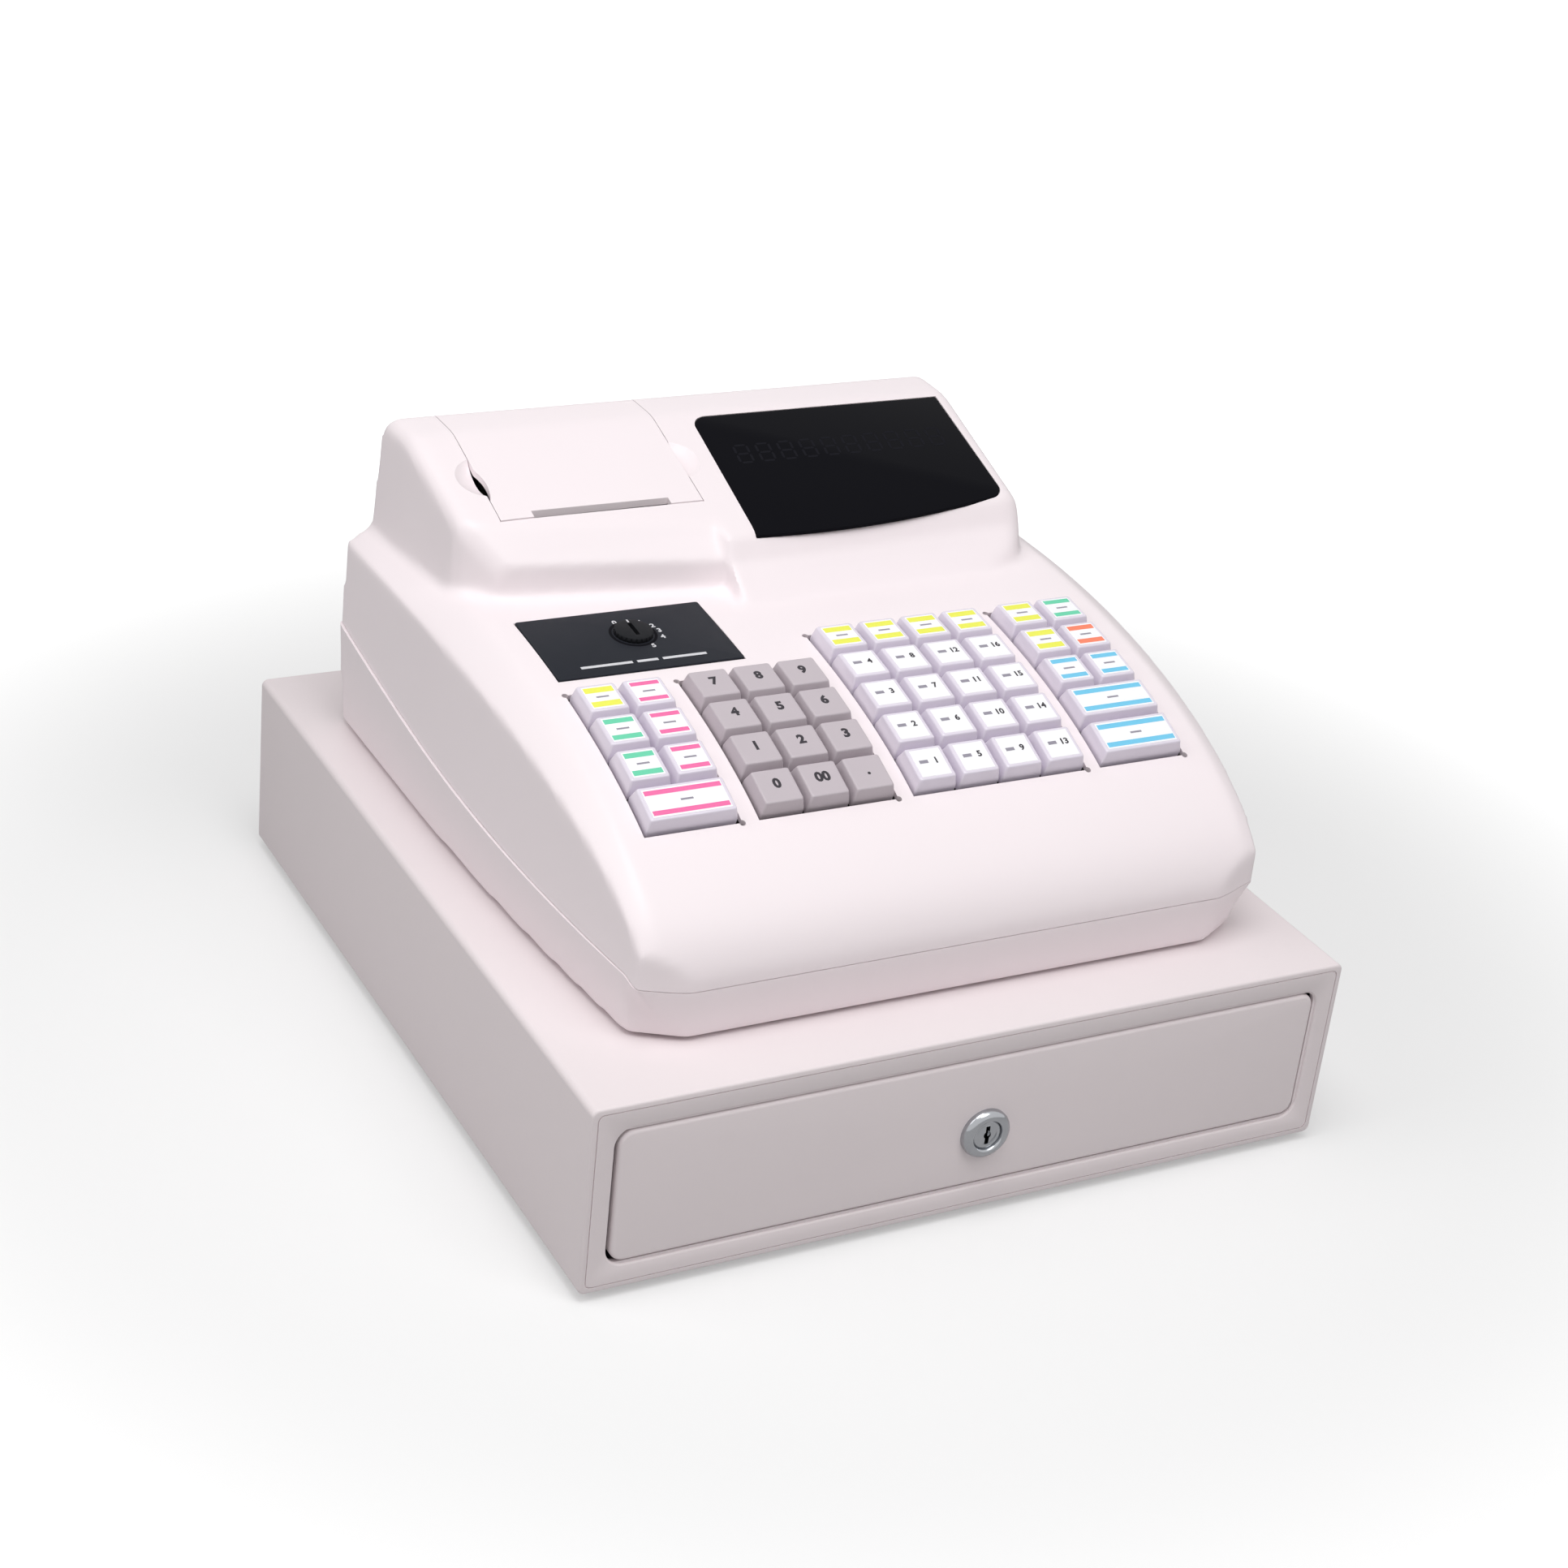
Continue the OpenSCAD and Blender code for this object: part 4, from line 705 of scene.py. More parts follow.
def weights_where(obj, name, weight):
    """A vertex group with weight(co) at each vertex."""
    group = obj.vertex_groups.new(name=name)
    for vertex in obj.data.vertices:
        value = weight(vertex.co)
        if value > 0:
            group.add([vertex.index], value, "REPLACE")
    return name


def hump_foot(co):
    """1 along the foot of the hump, 0 away from it."""
    rise = co.z - deck_top(min(co.y, till_back))
    return max(0.0, 1 - abs(rise - 1.5) / 7.5) if brow_y - 45 < co.y < till_back - 4 and rise > -9 else 0.0


def till_form():
    """The outside of the till above its seam as one moulded body, reaching a little below the seam."""
    form = joined("till_form", [deck_form(0, seam_z - extra_low), *hump_forms(0)])
    apply_modifier(form, "REMESH", mode="VOXEL", voxel_size=form_voxel)
    apply_modifier(form, "SMOOTH", factor=0.5, iterations=5)
    foot = weights_where(form, "hump_foot", hump_foot)
    apply_modifier(form, "SMOOTH", factor=0.5, iterations=7, vertex_group=foot)
    form.vertex_groups.clear()
    return form


def seam_tool(y0, y1, offset, bottom):
    """A body under the seam line (bottom below it) or over it (bottom above it), shifted by offset."""
    ys = [y0 + (y1 - y0) * k / 60 for k in range(61)] + [corner_foot_y]
    line = [(y, seam_at(max(till_front, min(till_back, y))) + offset) for y in sorted(ys)]
    outline = line + [(y1, bottom), (y0, bottom)]
    tool = prism(outline, 400)
    return placed(tool, Matrix.Translation((-200, 0, 0)) @ Matrix(((0, 0, 1, 0), (1, 0, 0, 0),
                                                                    (0, 1, 0, 0), (0, 0, 0, 1))))


def top_plane(y):
    """Height of the hump's sloping top at y."""
    return brow_z + (y - brow_y) * tan(slope)


# ---- keyboard geometry ----

kb_len = 5 * key_pitch
kb_z0 = deck_top(kb_y0)
kb_angle = atan2(deck_top(kb_y0 + kb_len) - kb_z0, kb_len)
mode_y0 = kb_y0 + 4 * key_pitch * cos(kb_angle) + 9.2
mode_y1 = mode_y0 + mode_d


def key_place(s):
    """Where a key's middle sits on the deck at s along the keyboard, its tilt and its height over the chord."""
    y, z = kb_y0 + s * cos(kb_angle), kb_z0 + s * sin(kb_angle)
    rise = (deck_top(y) - z) * cos(kb_angle)
    y, z = y - rise * sin(kb_angle), z + rise * cos(kb_angle)
    return y, z, atan(deck_slope(y)), rise


def on_keyboard():
    return tilted(kb_angle, (0, kb_y0, kb_z0))


def group_opening(x, cols, rows):
    low = (x - group_gap, -group_gap, -20)
    high = (x + cols * key_pitch + group_gap, rows * key_pitch + group_gap, 20)
    return placed(block(low, high), on_keyboard())


def corner_reliefs(x, cols, rows):
    """The small round reliefs at two corners of an opening."""
    for u, v in ((x - group_gap, rows * key_pitch + group_gap), (x + cols * key_pitch + group_gap, -group_gap)):
        yield placed(rod(1.3, (u, v, -20), (u, v, 20), 20), on_keyboard())


def on_mode_panel():
    angle = atan2(deck_top(mode_y1) - deck_top(mode_y0), mode_d)
    return tilted(angle, (mode_x, mode_y0, deck_top(mode_y0)))


def on_slope():
    return tilted(slope, (0, ridge_y, ridge_z))


def window_outline(grow):
    """Outline of the display window, with V down the slope from the ridge."""
    x0, x1, r = window_x - grow, window_x + window_w + grow, 7 + grow
    top, left, right = -3.5 + grow, -81 - grow, -72.5 - grow
    steps = 12
    rear = [(x0 + r + r * cos(a), top - r + r * sin(a)) for a in (pi - pi / 2 * k / steps for k in range(steps + 1))]
    front = [(x1 - r + r * cos(a), right + r + r * sin(a))
             for a in (-radians(75) * k / steps for k in range(steps + 1))]
    sag = [(x1 - r + (x0 - 2.5 - x1 + r) * t, right + (left - right) * t - 16 * t * (1 - t))
           for t in (k / steps for k in range(1, steps))]
    return rear + [(x1, top)] + front + sag + [(x0 - 2.5, left)]


# ---- the till's two mouldings and the printer cover ----


def cover_block(grow):
    """The space of the printer cover, with its lower rear lip above the hinge."""
    low_z = deck_z + 2 - grow
    front = cover_y0 - (2 * cover_gap if grow else 0)
    body = block((cover_x0 - grow, front, low_z),
                 (cover_x1 + grow, hump_back - wall - grow, ridge_z + 20))
    lip = block((cover_x0 - grow, ridge_y, cover_back_z - grow), (cover_x1 + grow, till_back + 1, ridge_z + 20))
    return unite(body, lip)


case_knuckles = [cover_mid + x * knuckle_x + side * (knuckle_w + knuckle_gap) for x in (-1, 1) for side in (-1, 1)]


def case_knuckle(x):
    """A knuckle of the cover's hinge, with its short web to the case's back."""
    knuckle = rod_x(hinge_r, x - knuckle_w / 2, x + knuckle_w / 2, hinge_y, hinge_z)
    web = block((x - knuckle_w / 2, hump_back - wall / 2, hinge_z - hinge_r - 3),
                (x + knuckle_w / 2, hinge_y, hinge_z))
    return unite(knuckle, web)


def grip_balls(radius):
    for x in (cover_x0 + grip_in, cover_x1 - grip_in):
        yield ball(radius, (x, grip_y, top_plane(grip_y) + grip_r - grip_depth))


def upper_case(form):
    """The upper moulding: a thin shell with its openings, thicker behind the finger dishes."""
    dish_backs = [combine(copied(form, "dish_back"), dish, "INTERSECT") for dish in grip_balls(grip_r + wall)]
    case = cut(form, seam_tool(till_front - 20, till_back + 20, seam_gap, till_z - 60))
    cut(case, deck_form(wall, seam_z - 2 * extra_low), *hump_forms(wall))
    unite(case, *dish_backs)
    for group in (LEFT, DIGITS, DEPARTMENTS, RIGHT):
        cut(case, group_opening(*group), *corner_reliefs(*group))
    cut(case, cover_block(cover_gap), *grip_balls(grip_r))
    unite(case, *(case_knuckle(x) for x in case_knuckles))
    for x in (cover_mid - knuckle_x, cover_mid + knuckle_x):
        cut(case, rod_x(hinge_pin_r + 0.08, x - 2 * knuckle_w, x + 2 * knuckle_w, hinge_y, hinge_z, 24))
    pocket = block((-0.3, -0.3, mode_proud - mode_t), (mode_w + 0.3, mode_d + 0.3, 10))
    shaft = rod(11.3, (*dial_at, -10), (*dial_at, 10))
    cut(case, placed(pocket, on_mode_panel()), placed(shaft, on_mode_panel()))
    for depth, grow in ((window_t, 0.3), (12, -window_rest)):
        seat = moved(prism(window_outline(grow), 20), 0, 0, -depth)
        cut(case, placed(seat, on_slope()))
    cut(case, block((customer_x, hump_back - window_t, customer_z),
                    (customer_x + customer_w, hump_back + 2, customer_z + customer_h)),
        block((customer_x + window_rest, hump_back - wall - 2, customer_z + window_rest),
              (customer_x + customer_w - window_rest, hump_back + 2, customer_z + customer_h - window_rest)))
    finished(case, ivory_plastic)
    return settle(case, "upper_case_shell", "case", "ivory_plastic", "upper_case")


def printer_cover(form):
    """The hinged cover over the printer, cut from the same moulded form."""
    cover = combine(form, cover_block(0), "INTERSECT")
    inner = hump_half_form(printer_profile(), wall, printer_sweep, step_x + wall, -1)
    cut(cover, inner)
    for x in case_knuckles:
        cut(cover, block((x - knuckle_w / 2 - knuckle_gap, hump_back - wall, hinge_z - 3 * hinge_r),
                         (x + knuckle_w / 2 + knuckle_gap, hump_back + 3 * wall, hinge_z + 3 * hinge_r)))
    for x in (cover_mid - knuckle_x, cover_mid + knuckle_x):
        unite(cover, block((x - knuckle_w / 2, hump_back - 2 * wall, hinge_z),
                           (x + knuckle_w / 2, hinge_y, hinge_z + hinge_r)),
              rod_x(hinge_r, x - knuckle_w / 2, x + knuckle_w / 2, hinge_y, hinge_z),
              rod_x(hinge_pin_r, x - 1.5 * knuckle_w, x + 1.5 * knuckle_w, hinge_y, hinge_z, 24))
    for side in (-1, 1):
        x = cover_mid + side * ear_x
        ear = block((x - 1.5, platen_y - 4, platen_z - 4), (x + 1.5, platen_y + 4, top_plane(platen_y) - wall / 2))
        unite(cover, cut(bevelled(ear, 0.5, 2), rod_x(pin_r + 0.08, x - 3, x + 3, platen_y, platen_z, 24)))
    cut(cover, block((cover_mid - slot_w / 2, slot_y - slot_t / 2, top_plane(slot_y) - 2 * wall),
                     (cover_mid + slot_w / 2, slot_y + slot_t / 2 + slot_lip, top_plane(slot_y) + 2 * wall)))
    x, z = cover_x0 + notch_w - notch_r, top_plane(grip_y)
    cut(cover, rod(notch_r, (x, grip_y, z - 4 * wall), (x, grip_y, z + 4 * wall), 96))
    finished(cover, ivory_plastic)
    return settle(cover, "printer_cover_lid", "cover", "ivory_plastic", "printer_cover")


def base_case():
    """The lower moulding, open at its top under the seam."""
    ys = sorted([y for y in deck_stations() if y < base_front_y - 0.5] + [base_front_y]
                + [y for y in deck_stations() if y > base_front_y + 0.5])
    base = loft([base_row(y, 0, extra_low) for y in ys])
    apply_modifier(base, "REMESH", mode="VOXEL", voxel_size=base_voxel)
    apply_modifier(base, "SMOOTH", factor=0.5, iterations=4)
    cut(base, seam_tool(till_front - 20, till_back + 20, 0, ridge_z),
        loft([base_row(y, wall, 3 * extra_low) for y in ys]))
    finished(base, ivory_plastic)
    return settle(base, "base_case_shell", "case", "ivory_plastic", "base_case")


# ---- cash drawer ----


def flared_tool(w, h, r, y0, y1, flare):
    """A cutting tool for an opening whose front rim is rounded by flare."""
    rings = [(y0 - 1, flare), (y0, flare * 0.9), (y0 + flare * 0.3, flare * 0.35), (y0 + flare, 0), (y1, 0)]
    return loft([[(x, y, front_mid_z + z) for x, z in round_outline(w + 2 * g, h + 2 * g, r + g)]
                 for y, g in rings])


def frame_groove():
    """The fine line where the front frame sits in the folded case."""
    outer, inner = (round_bar(case_w - 2 * inset, case_h - 2 * inset, 2.5, front_y - 1, front_y + 0.45)
                    for inset in (groove_in, groove_in + 0.4))
    return cut(outer, inner)


def gap_strip():
    """The folded strip that narrows the gap beside, above and below the drawer's front."""
    strip = round_bar(open_w + 1, open_h + 1, panel_r + panel_gap, front_y + strip_in, front_y + strip_in + 2.2)
    return cut(strip, round_bar(open_w - strip_w, open_h - 2 * strip_w, strip_r, front_y, front_y + 4, -strip_w / 2))


def drawer_case():
    """The folded steel case with its front frame, keeper, latch cheeks and stud."""
    case = bevelled(round_bar(case_w, case_h, 3, front_y, back_y), 1.0, 3, 60)
    cut(case, round_bar(case_w - 2 * sheet, case_h - 2 * sheet, 1.8, front_y + sheet, back_y - sheet),
        flared_tool(open_w, open_h, panel_r + panel_gap, front_y, front_y + 2 * sheet, 0.8),
        frame_groove())
    unite(case, gap_strip())
    keeper = block((lock_x - 15, front_y + panel_depth - 2, front_mid_z + open_h / 2 + 0.3),
                   (lock_x + 15, front_y + panel_depth, top_z - sheet / 2))
    cheeks = [bevelled(block((side * 4.4 - 1, latch_y - 6, 4 + sheet / 2), (side * 4.4 + 1, latch_y + 6, latch_z + 5)),
                       0.8) for side in (-1, 1)]
    stud = rod_x(2, -4.4, 4.4, latch_y, latch_z, 32)
    unite(case, bevelled(keeper, 0.4, 2), *cheeks, stud)
    finished(case, ivory_paint)
    return settle(case, "drawer_case_shell", "case", "ivory_paint", "drawer_housing")


def drawer_panel():
    """The drawer's folded front, with a soft rim and the hole for the lock."""
    panel = bevelled(round_bar(front_w, front_h, panel_r, front_y, front_y + panel_depth), 1.7, 5, 60)
    cut(panel, round_bar(front_w - 4, front_h - 4, panel_r - 2, front_y + 2, front_y + panel_depth + 1),
        rod(8.62, (lock_x, front_y - 1, lock_z), (lock_x, front_y + 4, lock_z), 64))
    finished(panel, ivory_paint)
    return settle(panel, "drawer_front_panel", "drawer", "ivory_paint", "drawer_front")


def facing_front(x, y, z):
    """Turns a piece that stands along Z so that its top faces the operator."""
    return tilted(pi / 2, (x, y, z))


def lock():
    """The drawer lock: a domed ring on a barrel, and the plug with its keyway and cam."""
    ring = turned([(6.28, -16.2), (8.6, -16.2), (8.6, 0), (10.5, 0), (10.5, 1.1), (10.35, 1.7), (9.95, 2.4),
                   (9.3, 3.0), (8.5, 3.4), (7.7, 3.6), (7.0, 3.55), (6.5, 3.2), (6.28, 2.7)], 96)
    finished(placed(ring, facing_front(lock_x, front_y, lock_z)), chrome)
    settle(ring, "drawer_lock_ring", "drawer", "lock_chrome", "lock_barrel", 40)
    plug = turned([(0, -18.7), (6.2, -18.7), (6.2, 1.7), (6.0, 2.15), (5.6, 2.35), (4.9, 2.4), (4.6, 2.2),
                   (4.3, 2.2), (4.0, 2.4), (0, 2.45)])
    cut(plug, block((-0.9, -4, -5.4), (0.9, 4, 4)), rod(1.6, (0, 0, 1.2), (0, 0, 4), 32))
    cam = bevelled(block((0, -4.5, -18.7), (34.5, 4.5, -16.7)), 0.3, 2)
    unite(plug, cam, rod(4.5, (34.5, 0, -18.7), (34.5, 0, -16.7)))
    finished(placed(plug, facing_front(lock_x, front_y, lock_z)), chrome)
    settle(plug, "drawer_lock_plug", "lock", "lock_chrome", "lock_plug", 40)


def feet():
    profile = [(0, 1.6), (3.2, 1.6), (3.3, 0.3), (3.7, 0), (10.3, 0), (11.3, 0.45), (11.95, 1.5), (11.75, 2.5),
               (11.2, 3.7), (11, 4), (0, 4)]
    foot = turned(profile)
    spots = [(x, y) for x in (-130, 130) for y in (front_y + 34, back_y - 34)]
    all_feet = joined("feet", [moved(copied(foot, "foot"), x, y, 0) for x, y in spots])
    bpy.data.objects.remove(foot, do_unlink=True)
    settle(finished(all_feet, rubber), "rubber_feet", "case", "black_rubber", "drawer_feet")


def wheels():
    """The two nylon wheels at the back of the sliding box, with a groove and a hub on each."""
    profile = [(2.08, 0), (4.2, 0), (4.4, 0.7), (6.2, 0.7), (6.5, 0), (7.1, 0.1), (7.5, 0.6), (7.5, 5.4), (7.1, 5.9),
               (6.5, 6), (6.2, 5.3), (4.4, 5.3), (4.2, 6), (2.08, 6)]
    low, high = node_box("drawer_wheels")
    middle = (low + high) / 2
    pair = []
    for x in (low.x, high.x - 6):
        wheel = turned(profile)
        pair.append(on_x_axis(wheel, x, middle.y, middle.z))
    settle(finished(joined("wheels", pair), nylon), "rail_wheels", "wheels", "white_nylon", "drawer_wheels")


def drawer_inside():
    """Rails, sliding box, cash tray, note clips and latch, with the edges of their real pieces."""
    for node, width, name, body, slot, finish in (
            ("drawer_rails", 0.3, "side_rails", "case", "zinc_steel", zinc),
            ("drawer_box", 0.35, "sliding_box", "drawer", "zinc_steel", zinc),
            ("drawer_latch", 0.4, "latch_hook", "latch", "zinc_steel", zinc),
            ("cash_tray", 0.7, "coin_and_note_tray", "drawer", "black_plastic", black_plastic),
            ("note_clips", 0.4, "note_hold_downs", "clips", "black_plastic", black_plastic)):
        dressed(node, width, name, body, slot, finish, holed=node == "cash_tray")


# ---- printer ----


def printer():
    """Paper roll on its core, platen with steel ends, and the frame with the print head."""
    low, high = node_box("paper_roll")
    middle = (low + high) / 2
    half = roll_w / 2
    roll = turned([(roll_core_r, -half), (9.3, -half), (9.5, -half + 0.4), (roll_r - 0.5, -half), (roll_r, 0.5 - half),
                   (roll_r, half - 0.5), (roll_r - 0.5, half), (9.5, half - 0.4), (9.3, half), (roll_core_r, half)], 96)
    painted(finished(roll, paper, card_core), lambda at: Vector((at.x, at.y)).length < 9.45)
    on_x_axis(roll, cover_mid, middle.y, middle.z)
    settle(roll, "receipt_paper_roll", "roll", "receipt_paper", "paper_roll")
    half = roll_w / 2 + 1
    platen = turned([(0, -half - 4), (1.2, -half - 4), (pin_r, -half - 3.7), (pin_r, -half), (platen_r - 0.4, -half),
                     (platen_r, 0.4 - half), (platen_r, half - 0.4), (platen_r - 0.4, half), (pin_r, half),
                     (pin_r, half + 3.7), (1.2, half + 4), (0, half + 4)], 48)
    painted(finished(platen, platen_rubber, zinc), lambda at: abs(at.z) > half + 0.01)
    on_x_axis(platen, cover_mid, platen_y, platen_z)
    settle(platen, "platen_with_pins", "platen", "black_rubber", "platen_roller")
    dressed("printer_frame", 0.4, "printer_carrier", "case", "black_plastic", grey_plastic)


# ---- displays and mode lock ----

SEGMENTS = [((-2.6, y), (2.6, y)) for y in (5.6, 0, -5.6)] + \
    [((x, y), (x, y - 4.6)) for x in (-3.1, 3.1) for y in (5.1, -0.5)]


def unlit_digit():
    """The seven bars of an unlit digit, which just show through the window."""
    bars = []
    for start, end in SEGMENTS:
        start, end = Vector(start), Vector(end)
        along = (end - start).normalized() * 0.55
        aside = Vector((-along.y, along.x))
        outline = [start, start + along + aside, end - along + aside, end, end - along - aside, start + along - aside]
        bars.append(prism([(p.x + 0.08 * p.y, p.y) for p in outline], 0.03))
    return joined("unlit_digit", bars)


def digit_row(count, pitch, x, y, z):
    digit = unlit_digit()
    row = [moved(copied(digit, "digit"), x + (k - (count - 1) / 2) * pitch, y, z)
           for k in range(count)]
    bpy.data.objects.remove(digit, do_unlink=True)
    return row


def windows():
    """The two smoked windows, polished at their edges, with the unlit digits behind them."""
    pane = finished(bevelled(prism(window_outline(0), window_t), 0.4, 3, 60), acrylic)
    moved(pane, 0, 0, -window_t)
    row = [finished(digit, ghost_grey) for digit in digit_row(10, 10.4, window_x + window_w / 2, -30, 0)]
    pane = placed(joined("pane", [pane, *row]), on_slope())
    settle(pane, "operator_window", "case", "window_black", "display_window")
    back = bevelled(block((customer_x + 0.3, hump_back - window_t, customer_z + 0.3),
                          (customer_x + customer_w - 0.3, hump_back, customer_z + customer_h - 0.3)), 0.35)
    row = [finished(digit, ghost_grey) for digit in digit_row(7, 10.4, 0, 0, 0)]
    turn = Matrix.Translation((customer_x + customer_w / 2, hump_back, customer_z + customer_h / 2)) @ \
        Matrix.Rotation(pi, 4, "Z") @ Matrix.Rotation(pi / 2, 4, "X")
    row = [placed(digit, turn) for digit in row]
    settle(joined("back_pane", [finished(back, acrylic), *row]), "customer_window_pane", "case", "window_black",
           "customer_window")


def mode_lock():
    """The black panel with its printed numbers and a painted shade ring round the dial, and the turning dial with a
    slot.
    """
    outline = [(x + mode_w / 2, y + mode_d / 2) for x, y in round_outline(mode_w, mode_d, 1.0, 4)]
    plate = moved(bevelled(prism(outline, mode_t), 0.3, 2, 60), 0, 0, mode_proud - mode_t)
    u, v = dial_at
    cut(plate, rod(6, (u, v, -5), (u, v, 5)))
    finished(plate, film)
    marks = []
    for text, x, y in (("0", -3.9, 9.6), ("1", 6.6, 7.8), ("2", 10.3, 4.2), ("3", 11.6, 0.2), ("4", 11, -4.6),
                       ("5", 4.4, -10.2)):
        mark = moved(lettering(text, 3.8, 0.12), u + x, v + y, mode_proud + 0.02)
        marks.append(finished(mark, ink_white))
    for low, high in ((12, 34), (36, 45), (47, 66)):
        marks.append(finished(block((low, 5.6, mode_proud - 0.1), (high, 7.2, mode_proud + 0.04)), ink_white))
    # a flat ring on the panel, painted dark as the shade of a groove round the dial
    groove = turned([(8.6, 0), (9.8, 0), (9.8, 0.05), (8.6, 0.05)])
    marks.append(finished(moved(groove, u, v, mode_proud), painted_groove_shade))
    plate = placed(joined("plate", [plate, *marks]), on_mode_panel())
    settle(plate, "mode_plate", "case", "panel_black", "mode_panel")
    dial = turned([(0, -12.5), (4.5, -12.5), (4.5, 1.0), (7.9, 1.0), (8, 1.2), (8, 2.2), (7.7, 2.7), (7.1, 2.95),
                   (0, 3.0)], 72)
    cut(dial, bevelled(block((-0.9, -4.5, 0.6), (0.9, 4.5, 6)), 0.25, 2),
        *(rod(0.45, (8.1 * cos(a), 8.1 * sin(a), 0), (8.1 * cos(a), 8.1 * sin(a), 4), 12)
          for a in (2 * pi * k / 24 for k in range(24))))
    pointer = finished(block((-0.35, 5.2, 2.99), (0.35, 7.2, 3.03)), ink_white)
    dial = joined("dial", [finished(dial, dial_plastic), pointer])
    placed(moved(dial, u, v, 0), on_mode_panel())
    settle(dial, "mode_dial", "dial", "black_plastic", "mode_plug")
    dressed("mode_switch", 0.4, "mode_switch_body", "case", "black_plastic", grey_plastic)


# ---- keys ----


def cap(w):
    """A key cap of width w with soft edges, its skirt reaching under the deck."""
    rings = [(-cap_skirt, 0.1, 0.7), (0.4, 0.15, 0.8), (4.85, 1.15, 1.0), (5.22, 1.3, 1.0), (5.46, 1.55, 0.9),
             (5.56, 1.9, 0.8), (5.5, 2.6, 0.7)]
    return loft([[(x, y, z) for x, y in round_outline(w - 2 * inset, cap_w - 2 * inset, r, 4)]
                 for z, inset, r in rings])


def stem(s, x):
    """The stem that runs square through the guide plate down to its switch."""
    y, z, _, rise = key_place(s)
    length = stem_len + rise
    return placed(rod(stem_r, (0, 0, -length), (0, 0, cap_h - 1.6), 20), tilted(kb_angle, (x, y, z)))


def legend_plate(w, colour):
    """The white card under a clear cap, with its two stripes."""
    card = finished(bevelled(block((-w / 2, -card_d / 2, 5.38), (w / 2, card_d / 2, 5.63)), 0.08, 1), card_white)
    if not colour:
        return [card]
    deep = {"yellow": 3.2, "pink": 2.2, "green": 2.6, "orange": 2.8, "blue": 2.4}[colour]
    stripes = [finished(block((-w / 2 + 0.5, y, 5.6), (w / 2 - 0.5, y + deep, 5.67)), STRIPES[colour])
               for y in (-5.9, 5.9 - deep)]
    dash = finished(block((-2.6, -0.45, 5.6), (2.6, 0.45, 5.66)), ink_grey)
    return [card, *stripes, dash]


def number_mark(number):
    """A small plain number with a short bar before it."""
    number = finished(moved(lettering(str(number), 4.0, 0.14), 2.8, 0.6, 5.66), ink_black)
    bar = finished(block((-4.6, -0.2, 5.6), (-0.8, 1.4, 5.67)), ink_grey)
    return [number, bar]


def key(group, col, row, span, plastic, legend):
    """One key in its place: cap, stems and legend."""
    s = (row + 0.5) * key_pitch
    y, z, tilt, _ = key_place(s)
    x = group[0] + (col + span / 2) * key_pitch
    w = cap_w + (span - 1) * key_pitch
    top = placed(joined("key_top", [finished(cap(w), plastic), *legend]), tilted(tilt, (x, y, z)))
    stems = [finished(stem(s, group[0] + (col + k + 0.5) * key_pitch), plastic) for k in range(span)]
    return joined("key", [top, *stems])


def digit_keys():
    """Number keys in rows from the front: 0 00 point, 1 2 3, 4 5 6, 7 8 9."""
    rows = (("0", "00", "point"), ("1", "2", "3"), ("4", "5", "6"), ("7", "8", "9"))
    for row, names in enumerate(rows):
        for col, name in enumerate(names):
            text = "." if name == "point" else name
            mark = finished(moved(lettering(text, 6.2, 0.3), 0.2, 0.8, 5.52), ink_black)
            piece = key(DIGITS, col, row, 1, digit_plastic, [mark])
            settle(piece, "digit_" + name, "digit_key_%s_body" % name, "grey_keys", "digit_key_" + name, 28)


def function_key(node, group, col, row, span, colour):
    piece = key(group, col, row, span, cap_plastic, legend_plate(card_w + (span - 1) * key_pitch, colour))
    settle(piece, node + "_cap", node + "_body", "white_keys", node, 28)


def function_keys():
    """The striped keys on both sides of the others: wide ones in front, then single ones in twos."""
    for side, group, wide, single in (
            ("left", LEFT, {"wide": "pink"}, ("green", "pink", "green", "pink", "yellow", "pink")),
            ("right", RIGHT, {"wide_1": "blue", "wide_2": "blue"},
             ("blue", "blue", "yellow", "orange", "yellow", "green"))):
        for row, (name, colour) in enumerate(wide.items()):
            function_key("%s_key_%s" % (side, name), group, 0, row, 2, colour)
        for k, colour in enumerate(single):
            function_key("%s_key_%d" % (side, k + 1), group, k % 2, len(wide) + k // 2, 1, colour)


def department_keys():
    """Four columns of five keys: numbered in the four front rows, striped in the rear row."""
    for col in range(4):
        column = []
        for row in range(5):
            legend = legend_plate(card_w, "yellow" if row == 4 else None)
            if row < 4:
                legend += number_mark(4 * col + row + 1)
            column.append(key(DEPARTMENTS, col, row, 1, cap_plastic, legend))
        node = "dept_column_%d" % (col + 1)
        settle(joined("column", column), "department_keys_%d" % (col + 1), node + "_body", "white_keys", node, 28)


# ---- electronics and fittings ----


def boards():
    """Circuit boards, each painted by what its faces belong to."""
    low, high = node_box("main_board")

    def on_main(at):
        if at.z < low.z + 1.65:
            return 0
        if at.y > high.y - 12:
            return 3
        return 2 if at.x > low.x + 112 and at.y < low.y + 48 else 1
    dressed("main_board", 0.2, "logic_board", "case", "circuit_board", laminate, chip, zinc, nylon,
            choose=on_main, segments=1, holed=True)
    flat = on_keyboard().inverted()
    dressed("keyboard_board", 0.15, "switch_board", "case", "circuit_board", laminate, grey_plastic,
            choose=lambda at: (flat @ at).z > -16.45, segments=1)
    slope_flat = on_slope().inverted()
    dressed("display_board", 0.15, "display_boards", "case", "circuit_board", laminate, chip, segments=1,
            choose=lambda at: ((slope_flat @ at).z > -10.95 and at.y < hump_back - 16
                               or at.y > hump_back - 10.95))


